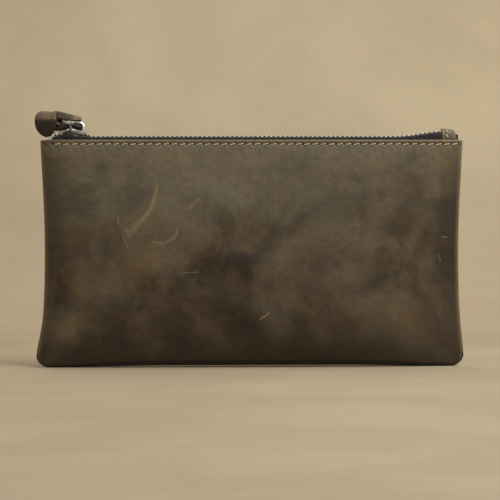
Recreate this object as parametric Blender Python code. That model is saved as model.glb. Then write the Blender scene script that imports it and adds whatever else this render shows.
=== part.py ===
"""A zippered leather pouch, standing on its bottom edge.

Two inflated leather panels are sewn together along the sides and the bottom, each with a fabric
lining behind it. A metal zip closes the top: two tapes sewn inside the panels' rims, two rows of
teeth, stops, a slider with a wire link and a leather pull, and a leather tab over the blind end.

Frame: metres, +Z up, +X along the zip towards its blind end, -Y towards the front panel. The
origin is the middle of the bottom edge, on the surface that the pouch stands on.
"""

import math

import bmesh
import bpy
from mathutils import Matrix, Vector

MM = 0.001

# Pouch
WIDTH = 204.8 * MM
HEIGHT = 110.4 * MM
LEATHER = 1.6 * MM
LINING = 0.5 * MM
HALF_GAP = 0.15 * MM  # each panel stops this far from the seam plane
FIT_GAP = 0.3 * MM
CORNER = 6.6 * MM
EDGE_ROUND = 2.5 * MM
SIDE_PULL = 2.3 * MM  # how far the stuffed sides draw in at mid height
CORNER_FLARE = 0.9 * MM
BELLY = 7.5 * MM
TOP_SHARE = 0.63  # of the belly, at the rim
BELLY_HEIGHT = 38.0 * MM
FOOT_CUT = 0.5 * MM
LINING_INSET = 4.0 * MM
LINING_TOP = HEIGHT - 3.2 * MM
LINING_DEEPER = 2.85 * MM
LINING_FLAT = 0.95 * MM  # outside of a lining where it lies flat by the seams

# Zip chain
PITCH = 2.23 * MM
TOOTH_WIDTH = 0.85 * MM
TOOTH_HALF_THICK = 0.85 * MM
TOOTH_REACH = 0.7 * MM  # past the middle of the chain
SPINE_INNER = 1.3 * MM
SPINE_OUTER = 2.2 * MM
TAPE = 0.6 * MM
TAPE_DEPTH = 10.0 * MM
CHAIN_MIDDLE = HEIGHT + 0.9 * MM
CHAIN_LEFT = HEIGHT + 2.7 * MM
CHAIN_RIGHT = HEIGHT + 3.5 * MM
TEETH_END = 90.6 * MM
TAPE_END = 97.0 * MM
ARC_START = -94.2 * MM
ARC_RADIUS = 4.0 * MM
ARC_ANGLE = math.radians(86)
ARC_LIFT = 0.5 * MM  # the rows ride up as they turn on edge
ROW_LENGTH = TAPE_END - ARC_START + ARC_RADIUS * ARC_ANGLE
FIRST_TOOTH = TAPE_END - TEETH_END
STOP_ROOM = 2.9 * MM  # the rows end this far short, to leave room for the top stops

# Slider, in its own frame: x along the zip, z up from the chain's middle plane
SLIDER_X = -84.7 * MM
SLIDER_HALF = 4.5 * MM
SLIDER_WIDE = 4.65 * MM
SLIDER_NARROW = 3.1 * MM
CHANNEL_HALF = 1.1 * MM
PLATE = 0.8 * MM
FLANGE = 0.65 * MM
SLOT_HALF = 0.55 * MM
SPREAD = 1.6 * MM  # how far each row is pushed aside at the slider's mouth

# Pull
WIRE = 0.75 * MM
LINK_LENGTH = 9.4 * MM
LINK_HALF_WIDTH = 3.2 * MM
LINK_TILT = math.radians(17)
LINK_PIVOT = Vector((-82.9 * MM, 0, CHAIN_LEFT + CHANNEL_HALF + PLATE + 1.1 * MM))
STRAP_HALF_WIDTH = 2.2 * MM
STRAP_THICK = 1.5 * MM

# Tab over the blind end
TAB_START = 92.3 * MM
TAB_END = 99.8 * MM
TAB_LEATHER = 1.3 * MM
TAB_TOP = HEIGHT + 4.9 * MM

# Threads
STITCH = 4.0 * MM
STITCH_LINE = HEIGHT - 2.5 * MM
THREAD_HALF = 0.3 * MM

FRONT, BACK = -1, 1


def clear_scene():
    for old in list(bpy.data.objects):
        bpy.data.objects.remove(old)


def material(name, colour, roughness, metallic=0.0):
    made = bpy.data.materials.new(name)
    made.use_nodes = True
    shader = made.node_tree.nodes["Principled BSDF"]
    shader.inputs["Base Color"].default_value = (*colour, 1)
    shader.inputs["Roughness"].default_value = roughness
    shader.inputs["Metallic"].default_value = metallic
    return made


def add_object(name, bm, finish, smooth=True):
    bmesh.ops.recalc_face_normals(bm, faces=bm.faces)
    mesh = bpy.data.meshes.new(name)
    bm.to_mesh(mesh)
    bm.free()
    mesh.materials.append(finish)
    if smooth:
        mesh.shade_smooth()
        mesh.set_sharp_from_angle(angle=math.radians(35))
    made = bpy.data.objects.new(name, mesh)
    bpy.context.scene.collection.objects.link(made)
    return made


def ease(t):
    """0 below 0, 1 above 1, with a smooth step between."""
    t = min(max(t, 0.0), 1.0)
    return t * t * (3 - 2 * t)


# ---- The inflated pouch ----


def half_width(z):
    """Half the pouch's width at a height, to the outside of the side seam."""
    up = z / HEIGHT
    wide = WIDTH / 2 - SIDE_PULL * math.sin(math.pi * min(up, 1.0)) ** 1.2
    wide += CORNER_FLARE * math.exp(-(((z - CORNER) / (12 * MM)) ** 2))
    lift = z + FOOT_CUT
    if lift < CORNER:
        wide -= CORNER - math.sqrt(CORNER**2 - (CORNER - lift) ** 2)
    return wide


def inset_from_seam(x, z):
    """Distance from the side and bottom seams."""
    lift = z + FOOT_CUT
    beyond = abs(x) - (WIDTH / 2 - CORNER)
    below = CORNER - lift
    to_side = half_width(z) - abs(x)
    if beyond > 0 and below > 0:
        return max(min(CORNER - math.hypot(beyond, below), to_side), 0.0)
    return max(min(to_side, lift), 0.0)


def belly(x, z):
    """How far the stuffing pushes a panel out beyond its rounded edge."""
    lift = (z + FOOT_CUT) / BELLY_HEIGHT
    if lift < 1:
        rise = (1 - (1 - lift) ** 3.2) ** 0.625
    else:
        rise = 1 - (1 - TOP_SHARE) * ease((lift - 1) / (HEIGHT / BELLY_HEIGHT - 1))
    flatness = 3 + 11 * (z / HEIGHT) ** 3
    across = 1 - min(abs(x) / half_width(z), 1.0) ** flatness
    return BELLY * rise * across


def half_depth(x, z):
    """Outside of a leather panel, measured from the seam plane."""
    near = min(inset_from_seam(x, z) / EDGE_ROUND, 1.0)
    return EDGE_ROUND * math.sqrt(1 - (1 - near) ** 2) + belly(x, z)


def lining_depth(x, z):
    """Outside of a lining, measured from the seam plane."""
    fitted = belly(x, z) + EDGE_ROUND - LINING_DEEPER
    return max(fitted, LINING_FLAT)


def thicken(bm, thickness, rim_y, top_z):
    """Turns an open sheet into a closed shell that grows inwards and stays flat on its rims."""
    bmesh.ops.remove_doubles(bm, verts=bm.verts, dist=0.01 * MM)
    bm.normal_update()
    outer = list(bm.verts)
    rims = [edge for edge in bm.edges if edge.is_boundary]
    faces = list(bm.faces)
    inner = {}
    for vert in outer:
        normal = vert.normal.copy()
        if abs(vert.co.y - rim_y) < 0.01 * MM:
            normal.y = 0
        if abs(vert.co.z - top_z) < 0.01 * MM:
            normal.z = 0
        inner[vert] = bm.verts.new(vert.co - thickness * normal.normalized())
    for face in faces:
        bm.faces.new([inner[v] for v in reversed(face.verts)])
    for edge in rims:
        a, b = edge.verts
        bm.faces.new([a, b, inner[b], inner[a]])


def grid_faces(bm, rows):
    for low, high in zip(rows, rows[1:]):
        for i in range(len(low) - 1):
            bm.faces.new([low[i], low[i + 1], high[i + 1], high[i]])


def outward_sheet(side, columns, heights, wide_at, depth_at, foot):
    """A sheet of the pouch's wall on one side, as a bmesh with normals pointing out.

    With a foot, the sheet also turns in under the pouch and meets the seam plane at its sides.
    """
    bm = bmesh.new()
    rows = []
    if foot:
        rows.append([(wide_at(0) * u, HALF_GAP, 0) for u in columns])
    for z in heights:
        row = []
        for u in columns:
            x = wide_at(z) * u
            edge = HALF_GAP if abs(u) == 1 and foot else 0
            row.append((x, edge or max(depth_at(x, z), HALF_GAP), z))
        rows.append(row)
    verts = [[bm.verts.new((x, side * y, z)) for x, y, z in row] for row in rows]
    grid_faces(bm, verts if side == FRONT else [row[::-1] for row in verts])
    return bm


def sided(side, name):
    """The node name of a piece that the pouch has one of at the front and one at the back."""
    return ("front_" if side == FRONT else "back_") + name


def panel(side, finish):
    """A leather panel: rounded at the seams, full in the belly, flat where it stands."""
    count = 22
    columns = [math.sin(math.pi / 2 * (2 * i / count - 1)) for i in range(count + 1)]
    columns[0], columns[-1] = -1, 1
    rows = 12
    heights = [HEIGHT * (1 - math.cos(math.pi / 2 * j / rows)) for j in range(rows + 1)]
    bm = outward_sheet(side, columns, heights, half_width, half_depth, foot=True)
    thicken(bm, LEATHER, side * HALF_GAP, HEIGHT)
    return add_object(sided(side, "panel"), bm, finish)


def lining(side, finish):
    """A fabric lining, hanging inside its panel and sewn in at the same seams."""
    count, rows = 14, 8
    columns = [math.sin(math.pi / 2 * (2 * i / count - 1)) for i in range(count + 1)]
    low = LINING_INSET
    heights = [low + (LINING_TOP - low) * (j / rows) ** 1.5 for j in range(rows + 1)]

    def wide(z):
        return half_width(z) - LINING_INSET

    bm = outward_sheet(side, columns, heights, wide, lining_depth, foot=False)
    outer = list(bm.verts)
    faces = list(bm.faces)
    rims = [edge for edge in bm.edges if edge.is_boundary]
    step = Vector((0, -side * LINING, 0))
    inner = {vert: bm.verts.new(vert.co + step) for vert in outer}
    for face in faces:
        bm.faces.new([inner[v] for v in reversed(face.verts)])
    for edge in rims:
        a, b = edge.verts
        bm.faces.new([a, b, inner[b], inner[a]])
    return add_object(sided(side, "lining"), bm, finish)


# ---- The zip's path ----


def chain_height(x):
    """Height of the chain's middle plane: raised at both ends, where the rims close up."""
    left = (CHAIN_LEFT - CHAIN_MIDDLE) * (1 - ease((x + 79.8 * MM) / (13 * MM)))
    right = (CHAIN_RIGHT - CHAIN_MIDDLE) * ease((x - 72 * MM) / (18 * MM))
    under_tab = 1.6 * MM * ease((x - 90.8 * MM) / (2.2 * MM))
    return CHAIN_MIDDLE + left + right - under_tab


def row_frame(s, side):
    """Where a row of teeth runs, s along it from the blind end.

    Returns the row's line, its direction out towards the tape and its direction up through a
    tooth. The rows part inside the slider, then turn on edge and curl down at the open end.
    """
    straight = TAPE_END - ARC_START
    if s < straight:
        x = TAPE_END - s
        z = chain_height(x)
        up = Vector((0, 0, 1))
    else:
        turn = (s - straight) / ARC_RADIUS
        x = ARC_START - ARC_RADIUS * math.sin(turn)
        z = CHAIN_LEFT - ARC_RADIUS * (1 - math.cos(turn))
        up = Vector((-math.sin(turn), 0, math.cos(turn)))
    along = x - SLIDER_X
    spread = SPREAD * ease((2.2 * MM - along) / (5.4 * MM))
    on_edge = ease((-SLIDER_HALF - along) / (5.5 * MM)) if s < straight + 1 else 1.0
    roll = math.pi / 2 * on_edge
    aside = spread + (TOOTH_HALF_THICK + HALF_GAP - SPREAD) * on_edge
    sideways = Vector((0, side, 0))
    line = Vector((x, 0, z)) + sideways * aside + up * ARC_LIFT * on_edge
    out = sideways * math.cos(roll) - up * math.sin(roll)
    thick = up * math.cos(roll) + sideways * math.sin(roll)
    return line, out, thick


def teeth_row(side, finish):
    """The teeth of one side, crimped on the cord that carries them."""
    bm = bmesh.new()
    shift = 0 if side == FRONT else PITCH / 2
    first = FIRST_TOOTH + shift
    count = int((ROW_LENGTH - STOP_ROOM - first) / PITCH) + 1
    previous = None
    for k in range(count):
        start = first + k * PITCH
        half = TOOTH_WIDTH / 2
        tip = half * 0.82
        stations = {}
        for label, s, q in (
            ("outer_a", start - half, SPINE_OUTER),
            ("inner_a", start - half, SPINE_INNER),
            ("tip_a", start - tip, -TOOTH_REACH),
            ("tip_b", start + tip, -TOOTH_REACH),
            ("inner_b", start + half, SPINE_INNER),
            ("outer_b", start + half, SPINE_OUTER),
        ):
            line, out, thick = row_frame(s, side)
            middle = line + out * q
            reach = thick * TOOTH_HALF_THICK
            stations[label] = [bm.verts.new(middle + reach), bm.verts.new(middle - reach)]
        tooth_faces(bm, stations)
        if previous:
            cord_faces(bm, previous, stations)
        else:
            end_face(bm, stations["outer_a"], stations["inner_a"])
        previous = stations
    end_face(bm, previous["outer_b"], previous["inner_b"])
    return add_object(sided(side, "teeth_row"), bm, finish, False)


def end_face(bm, a, b):
    bm.faces.new([a[0], b[0], b[1], a[1]])


def tooth_faces(bm, at):
    for level in (0, 1):
        bm.faces.new([at[k][level] for k in ("outer_a", "inner_a", "inner_b", "outer_b")])
        bm.faces.new([at[k][level] for k in ("inner_a", "tip_a", "tip_b", "inner_b")])
    for a, b in (("inner_a", "tip_a"), ("tip_a", "tip_b"), ("tip_b", "inner_b")):
        end_face(bm, at[a], at[b])
    end_face(bm, at["outer_a"], at["outer_b"])


def cord_faces(bm, before, after):
    """The stretch of cord between two teeth."""
    for level in (0, 1):
        bm.faces.new(
            [
                before["outer_b"][level],
                before["inner_b"][level],
                after["inner_a"][level],
                after["outer_a"][level],
            ]
        )
    end_face(bm, before["outer_b"], after["outer_a"])
    end_face(bm, before["inner_b"], after["inner_a"])


def tape_section(s, side):
    """Points across a tape: from the cord, out over the rim's inside, then down."""
    line, out, _ = row_frame(s, side)
    tuck = ease((line.x - 90.4 * MM) / (1.6 * MM))  # the tapes draw in under the tab
    bare = ease((line.x - 92.7 * MM) / (2 * MM))  # and close up past the last teeth
    start = line + out * (SPINE_OUTER + 0.45 * MM - 1.4 * MM * bare)
    x = start.x
    rim = half_depth(x, HEIGHT) - LEATHER - FIT_GAP - TAPE / 2
    low_z = HEIGHT - TAPE_DEPTH
    low = half_depth(x, low_z) - LEATHER - FIT_GAP - TAPE / 2
    near = abs(start.y)
    past_slider = SLIDER_WIDE + FIT_GAP + TAPE / 2 + 0.1 * MM
    by_slider = ease((x + 92.5 * MM) / (3 * MM)) * (1 - ease((x + 80 * MM) / (5 * MM)))
    bulge = max(rim, near + 0.3 * MM)
    bulge += (max(past_slider, bulge) - bulge) * by_slider
    bulge += (near + 0.15 * MM - bulge) * tuck
    bend_z = min(start.z - 0.7 * MM, HEIGHT + 0.75 * MM) - 0.85 * MM * tuck
    rim_z = min(HEIGHT + 0.1 * MM - 0.9 * MM * tuck, bend_z - 0.6 * MM)
    top = Vector((x, side * (bulge - 0.35 * MM * (1 - tuck)), start.z + out.z * 0.2 * MM))
    if top.z > start.z:
        top.z = start.z
    return [
        start,
        top,
        Vector((x, side * bulge, (start.z + bend_z) / 2)),
        Vector((x, side * bulge, bend_z)),
        Vector((x, side * rim, rim_z)),
        Vector((x, side * low, low_z)),
    ]


def tape(side, finish):
    """A zip tape: from the cord, over the rim's inside and down behind the leather."""
    straight = TAPE_END - ARC_START
    stations = [TAPE_END - x * MM for x in (97, 95.5, 94.6, 93.8, 93.2, 92.6)]
    stations += [TAPE_END - x * MM for x in (92, 91.4, 90.8, 90, 87, 84, 81, 77, 72)]
    stations += [TAPE_END - x * MM for x in range(60, -61, -20)]
    stations += [TAPE_END + x * MM for x in (66, 70, 73, 76, 78, 80, 82, 84, 86, 88, 90, 92)]
    stations += [straight + ARC_RADIUS * ARC_ANGLE * k / 5 for k in range(6)]
    bm = bmesh.new()
    rows = [[bm.verts.new(p) for p in tape_section(s, side)] for s in stations]
    grid_faces(bm, rows)
    made = add_object(sided(side, "zip_tape"), bm, finish)
    shell = made.modifiers.new("woven_thickness", "SOLIDIFY")
    shell.thickness = TAPE
    shell.offset = 0
    return made


def box_between(bm, low, high):
    made = bmesh.ops.create_cube(bm, size=1)["verts"]
    centre, size = (low + high) / 2, high - low
    bmesh.ops.scale(bm, verts=made, vec=size)
    bmesh.ops.translate(bm, verts=made, vec=centre)
    return made


def top_stop(side, finish):
    """A crimped stop on the end of one row, at the open end."""
    bm = bmesh.new()
    made = box_between(
        bm,
        Vector((-0.9 * MM, -SPINE_OUTER, -TOOTH_HALF_THICK)),
        Vector((0.9 * MM, -SPINE_INNER + 1.4 * MM, TOOTH_HALF_THICK)),
    )
    line, out, thick = row_frame(ROW_LENGTH - 1.1 * MM, side)
    across = -out
    along = across.cross(thick)
    frame = Matrix((along, across, thick)).transposed().to_4x4()
    bmesh.ops.transform(bm, matrix=Matrix.Translation(line) @ frame, verts=made)
    bmesh.ops.bevel(bm, geom=bm.edges, offset=0.25 * MM, segments=1, affect="EDGES")
    return add_object(sided(side, "top_stop"), bm, finish, False)


def bottom_stop(finish):
    """The stop that joins both tapes just past the last teeth."""
    bm = bmesh.new()
    start = TEETH_END + TOOTH_WIDTH / 2 + FIT_GAP
    middle = chain_height(start + 1.0 * MM)
    low = Vector((start, -SPINE_OUTER, middle - 0.7 * MM))
    box_between(bm, low, Vector((start + 1.2 * MM, SPINE_OUTER, middle + 0.7 * MM)))
    bmesh.ops.bevel(bm, geom=bm.edges, offset=0.2 * MM, segments=1, affect="EDGES")
    return add_object("bottom_stop", bm, finish, False)


# ---- Slider and pull ----


def prism(bm, outline, low, high):
    """An outline in the XY plane, extruded from one height to another."""
    face = bm.faces.new([bm.verts.new((x, y, low)) for x, y in outline])
    made = bmesh.ops.extrude_face_region(bm, geom=[face])["geom"]
    top = [v for v in made if isinstance(v, bmesh.types.BMVert)]
    bmesh.ops.translate(bm, verts=top, vec=(0, 0, high - low))


def mirrored(points):
    """Closes an outline given on its +Y side by its mirror image."""
    return points + [(x, -y) for x, y in reversed(points) if y > 0]


def united(name, pieces, finish):
    """Joins solids into one body with Boolean unions, hiding the solids it took in."""
    base = add_object(name, pieces[0], finish, False)
    for number, bm in enumerate(pieces[1:]):
        helper = add_object(f"{name}_part_{number}", bm, finish, False)
        helper.hide_render = True
        helper.display_type = "WIRE"
        join = base.modifiers.new(f"join_{number}", "BOOLEAN")
        join.operation = "UNION"
        join.object = helper
        join.solver = "EXACT"
    return base


def slider_body(finish):
    """Two plates held apart by the wedge, with flanges that fold in over the teeth."""
    plate = mirrored(
        [
            (-SLIDER_HALF, 2.9 * MM),
            (-3.8 * MM, SLIDER_WIDE),
            (-2.6 * MM, SLIDER_WIDE),
            (3.6 * MM, SLIDER_NARROW),
            (SLIDER_HALF, 2.3 * MM),
        ]
    )
    wedge = mirrored([(-4.2 * MM, 0.25 * MM), (-3 * MM, 0.45 * MM), (-1 * MM, 0)])
    pieces = []
    for low, high in (
        (CHANNEL_HALF, CHANNEL_HALF + PLATE),
        (-CHANNEL_HALF - PLATE, -CHANNEL_HALF),
    ):
        bm = bmesh.new()
        prism(bm, plate, low, high)
        pieces.append(bm)
    bm = bmesh.new()
    prism(bm, wedge, -CHANNEL_HALF - PLATE / 2, CHANNEL_HALF + PLATE / 2)
    pieces.append(bm)
    for side in (FRONT, BACK):
        flange = [
            (-3.4 * MM, side * SLIDER_WIDE),
            (-2.6 * MM, side * SLIDER_WIDE),
            (3.4 * MM, side * (SLIDER_NARROW + 0.05 * MM)),
            (3.4 * MM, side * (SLIDER_NARROW - FLANGE)),
            (-2.6 * MM, side * (SLIDER_WIDE - FLANGE)),
            (-3.4 * MM, side * (SLIDER_WIDE - FLANGE)),
        ]
        for low, high in (
            (SLOT_HALF, CHANNEL_HALF + PLATE / 2),
            (-CHANNEL_HALF - PLATE / 2, -SLOT_HALF),
        ):
            bm = bmesh.new()
            prism(bm, flange, low, high)
            pieces.append(bm)
    for bm in pieces:
        bmesh.ops.translate(bm, verts=bm.verts, vec=(SLIDER_X, 0, CHAIN_LEFT))
    return united("slider_body", pieces, finish)


def arch(centre, radii, height, steps):
    """Points over a flat-topped arch in the XZ plane, from its left foot to its right."""
    points = []
    for k in range(steps + 1):
        angle = math.pi * (1 - k / steps)
        c, s = math.cos(angle), math.sin(angle)
        x = centre + radii * math.copysign(abs(c) ** 0.6, c)
        points.append((x, height * s**0.6))
    return points


def slider_crown(finish):
    """The bridge on top of the slider that the wire link hangs from."""
    base = CHAIN_LEFT + CHANNEL_HALF + PLATE + FIT_GAP / 3
    outer = arch(-84.6 * MM, 3.9 * MM, 3.8 * MM, 10)
    inner = arch(-84.6 * MM, 3.0 * MM, 2.9 * MM, 10)
    bm = bmesh.new()
    face = bm.faces.new(
        [bm.verts.new((x, -1.3 * MM, base + z)) for x, z in outer + inner[::-1]]
    )
    made = bmesh.ops.extrude_face_region(bm, geom=[face])["geom"]
    moved = [v for v in made if isinstance(v, bmesh.types.BMVert)]
    bmesh.ops.translate(bm, verts=moved, vec=(0, 2.6 * MM, 0))
    return add_object("slider_crown", bm, finish)


def about_link(bm):
    """Moves geometry from the link's flat frame to its tilted place on the slider."""
    place = Matrix.Translation(LINK_PIVOT) @ Matrix.Rotation(LINK_TILT, 4, "Y")
    bmesh.ops.transform(bm, matrix=place, verts=bm.verts)


def pull_link(finish):
    """A wire ring: one end turns in the crown, the other carries the leather."""
    corner = 1.4 * MM
    centres = (
        (0, LINK_HALF_WIDTH, 0),
        (-LINK_LENGTH, LINK_HALF_WIDTH, 90),
        (-LINK_LENGTH, -LINK_HALF_WIDTH, 180),
        (0, -LINK_HALF_WIDTH, 270),
    )
    path = []
    for x, y, first in centres:
        cx = x - math.copysign(corner, x + LINK_LENGTH / 2)
        cy = y - math.copysign(corner, y)
        for k in range(4):
            a = math.radians(first + 30 * k)
            path.append(Vector((cx + corner * math.cos(a), cy + corner * math.sin(a), 0)))
    bm = bmesh.new()
    sides = 8
    rings = []
    for k, point in enumerate(path):
        ahead = path[(k + 1) % len(path)] - path[k - 1]
        out = Vector((ahead.y, -ahead.x, 0)).normalized()
        ring = []
        for n in range(sides):
            a = 2 * math.pi * (n + 0.5) / sides
            offset = out * math.cos(a) + Vector((0, 0, math.sin(a)))
            ring.append(bm.verts.new(point + WIRE * offset))
        rings.append(ring)
    for k, ring in enumerate(rings):
        after = rings[(k + 1) % len(rings)]
        for n in range(sides):
            m = (n + 1) % sides
            bm.faces.new([ring[n], ring[m], after[m], after[n]])
    about_link(bm)
    return add_object("pull_link", bm, finish)


def knot_and_tail(bm):
    """The strap's loop round the wire, its knot and its cut tail, in the link's frame."""
    around = WIRE + FIT_GAP + STRAP_THICK
    profile = []
    for degrees in range(60, -61, -20):
        a = math.radians(degrees)
        profile.append((around * math.cos(a), -around * math.sin(a)))
    profile += [
        (8.0 * MM, 3.4 * MM),
        (7.6 * MM, 4.9 * MM),
        (-0.9 * MM, 4.1 * MM),
        (-3.8 * MM, 4.1 * MM),
        (-5.1 * MM, 2.2 * MM),
        (-4.6 * MM, -0.2 * MM),
        (-2.4 * MM, -2.1 * MM),
    ]
    face = bm.faces.new([bm.verts.new((x, -STRAP_HALF_WIDTH, z)) for x, z in profile])
    made = bmesh.ops.extrude_face_region(bm, geom=[face])["geom"]
    moved = [v for v in made if isinstance(v, bmesh.types.BMVert)]
    bmesh.ops.translate(bm, verts=moved, vec=(0, 2 * STRAP_HALF_WIDTH, 0))
    bmesh.ops.translate(bm, verts=bm.verts, vec=(-LINK_LENGTH, 0, 0))
    about_link(bm)


def paddle(bm):
    """The strap's rounded free end, which bends over towards the front and hangs down."""
    stations = (
        (-96.2, 2.3, 1.0, 11.9),
        (-98.3, 3.3, 0.2, 12.4),
        (-100.5, 4.6, -1.7, 11.8),
        (-101.2, 4.95, -4.0, 9.6),
        (-101.2, 5.0, -4.6, 7.0),
        (-101.0, 4.3, -4.5, 5.0),
        (-100.8, 3.4, -4.4, 3.6),
        (-100.6, 2.3, -4.2, 2.4),
        (-100.4, 0.9, -4.1, 1.6),
    )
    spine = [Vector((0, y * MM, HEIGHT + z * MM)) for _, _, y, z in stations]
    rings = []
    for k, (middle, half, _, _) in enumerate(stations):
        ahead = (spine[min(k + 1, len(spine) - 1)] - spine[max(k - 1, 0)]).normalized()
        out = Vector((0, ahead.z, -ahead.y)) * STRAP_THICK / 2
        corners = ((-half, out), (half, out), (half, -out), (-half, -out))
        ring = [spine[k] + Vector(((middle + x) * MM, 0, 0)) + o for x, o in corners]
        rings.append([bm.verts.new(p) for p in ring])
    skin(bm, rings)


def skin(bm, rings):
    """Closes a row of rings into a solid with flat ends."""
    for low, high in zip(rings, rings[1:]):
        count = len(low)
        for n in range(count):
            m = (n + 1) % count
            bm.faces.new([low[n], low[m], high[m], high[n]])
    bm.faces.new(rings[0])
    bm.faces.new(rings[-1])


def leather_pull(finish):
    """One strap: looped round the link's far bar, knotted, with a tail and a paddle."""
    pieces = [bmesh.new(), bmesh.new()]
    knot_and_tail(pieces[0])
    paddle(pieces[1])
    pull = united("leather_pull", pieces, finish)
    bm = bmesh.new()
    radius = WIRE + FIT_GAP
    bmesh.ops.create_cone(
        bm, cap_ends=True, segments=16, radius1=radius, radius2=radius, depth=20 * MM
    )
    across = Matrix.Rotation(math.pi / 2, 4, "X")
    bmesh.ops.transform(bm, matrix=across, verts=bm.verts)
    bmesh.ops.translate(bm, verts=bm.verts, vec=(-LINK_LENGTH, 0, 0))
    about_link(bm)
    cutter = add_object("wire_hole", bm, finish, False)
    cutter.hide_render = True
    cutter.display_type = "WIRE"
    cut = pull.modifiers.new("wire_hole", "BOOLEAN")
    cut.operation = "DIFFERENCE"
    cut.object = cutter
    cut.solver = "EXACT"
    return pull


# ---- The tab and the threads ----


def tab_point(x, angle, grow):
    """A point on the tab's saddle, which narrows and dips towards its free end."""
    t = (x - TAB_START) / (TAB_END - TAB_START)
    half = (4.85 - 1.9 * t) * MM + grow
    top = TAB_TOP - 1.1 * MM * ease((t - 0.72) / 0.28) + grow
    low = HEIGHT + 0.35 * MM
    c, s = math.cos(angle), math.sin(angle)
    y = half * math.copysign(abs(c) ** 0.8, c)
    return Vector((x, y, low + (top - low) * abs(s) ** 0.8))


def zip_end_tab(finish):
    """A leather saddle folded over the zip's blind end."""
    bm = bmesh.new()
    angles = [math.pi * k / 10 for k in range(11)]
    stations = [TAB_START + (TAB_END - TAB_START) * t for t in (0, 0.35, 0.7, 0.86, 1)]
    for level in (0, -TAB_LEATHER):
        rows = [[bm.verts.new(tab_point(x, a, level)) for a in angles] for x in stations]
        grid_faces(bm, rows if level else [row[::-1] for row in rows])
    bm.verts.ensure_lookup_table()
    count = len(angles) * len(stations)
    across = len(angles)
    outer, inner = bm.verts[:count], bm.verts[count:]
    ring = list(range(across))
    ring += [across * k + across - 1 for k in range(1, len(stations))]
    ring += [count - 1 - k for k in range(1, across)]
    ring += [across * k for k in range(len(stations) - 2, 0, -1)]
    for a, b in zip(ring, ring[1:] + ring[:1]):
        bm.faces.new([outer[a], outer[b], inner[b], inner[a]])
    return add_object("zip_end_tab", bm, finish)


def cord(name, path, ups, half, finish):
    """A flat-sided thread swept along points, with the direction out of the leather at each."""
    bm = bmesh.new()
    rings = []
    for k, point in enumerate(path):
        ahead = (path[min(k + 1, len(path) - 1)] - path[max(k - 1, 0)]).normalized()
        up = ups[k].normalized()
        aside = ahead.cross(up).normalized()
        up = aside.cross(ahead)
        ring = [
            bm.verts.new(point + half * (a * aside + b * up))
            for a, b in ((1, -1), (1, 1), (-1, 1), (-1, -1))
        ]
        rings.append(ring)
    skin(bm, rings)
    return add_object(name, bm, finish, False)


def topstitch(side, finish):
    """The seam that holds the tape and lining to a panel's rim, as one slanting thread."""
    path, ups = [], []
    reach = WIDTH / 2 - 5 * MM
    count = int(2 * reach / STITCH)
    for k in range(2 * count + 1):
        x = -reach + k * STITCH / 2
        z = STITCH_LINE + (0.25 if k % 2 else -0.25) * MM
        depth = half_depth(x, z) + FIT_GAP + THREAD_HALF
        path.append(Vector((x, side * depth, z)))
        ups.append(Vector((0, side, 0)))
    return cord(sided(side, "topstitch"), path, ups, THREAD_HALF, finish)


def tab_stitching(finish):
    x = 95.2 * MM
    angles = [math.pi * (0.04 + 0.92 * k / 10) for k in range(11)]
    path = [tab_point(x, a, FIT_GAP + THREAD_HALF) for a in angles]
    centre = Vector((x, 0, HEIGHT))
    return cord("tab_stitching", path, [p - centre for p in path], THREAD_HALF, finish)


def seam_thread(finish):
    """The hidden seam that joins the panels, down one side, along the bottom and up."""
    inset = LEATHER + FIT_GAP + 0.5 * MM
    path = []
    for z in (100, 80, 60, 40, 20, 12):
        path.append(Vector((-half_width(z * MM) + inset, 0, z * MM)))
    centre_x = WIDTH / 2 - CORNER
    radius = CORNER - inset
    for k in range(6):
        a = math.radians(90 * k / 5)
        low = CORNER - FOOT_CUT - radius * math.sin(a)
        path.append(Vector((-centre_x - radius * math.cos(a), 0, low)))
    path += [Vector((-p.x, 0, p.z)) for p in reversed(path)]
    ups = [Vector((0, 1, 0))] * len(path)
    return cord("seam_thread", path, ups, THREAD_HALF, finish)


def build():
    clear_scene()
    leather = material("leather", (0.105, 0.08, 0.052), 0.5)
    fabric = material("lining_fabric", (0.09, 0.075, 0.06), 0.9)
    woven = material("zip_tape", (0.02, 0.016, 0.018), 0.85)
    metal = material("zip_metal", (0.62, 0.6, 0.56), 0.28, 1.0)
    thread = material("thread", (0.5, 0.36, 0.26), 0.75)
    for side in (FRONT, BACK):
        panel(side, leather)
        lining(side, fabric)
        tape(side, woven)
        teeth_row(side, metal)
        top_stop(side, metal)
        topstitch(side, thread)
    bottom_stop(metal)
    slider_body(metal)
    slider_crown(metal)
    pull_link(metal)
    leather_pull(leather)
    zip_end_tab(leather)
    tab_stitching(thread)
    seam_thread(thread)


build()
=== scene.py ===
"""Looks for the zippered leather pouch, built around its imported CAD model.

Lengths in this script are in millimetres until a mesh is made; x runs along the zip towards its
blind end, -y is the front, z is up, and the origin is the middle of the bottom edge.
"""

import math

import bmesh
import bpy
import numpy as np
from mathutils import Matrix, Vector


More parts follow.
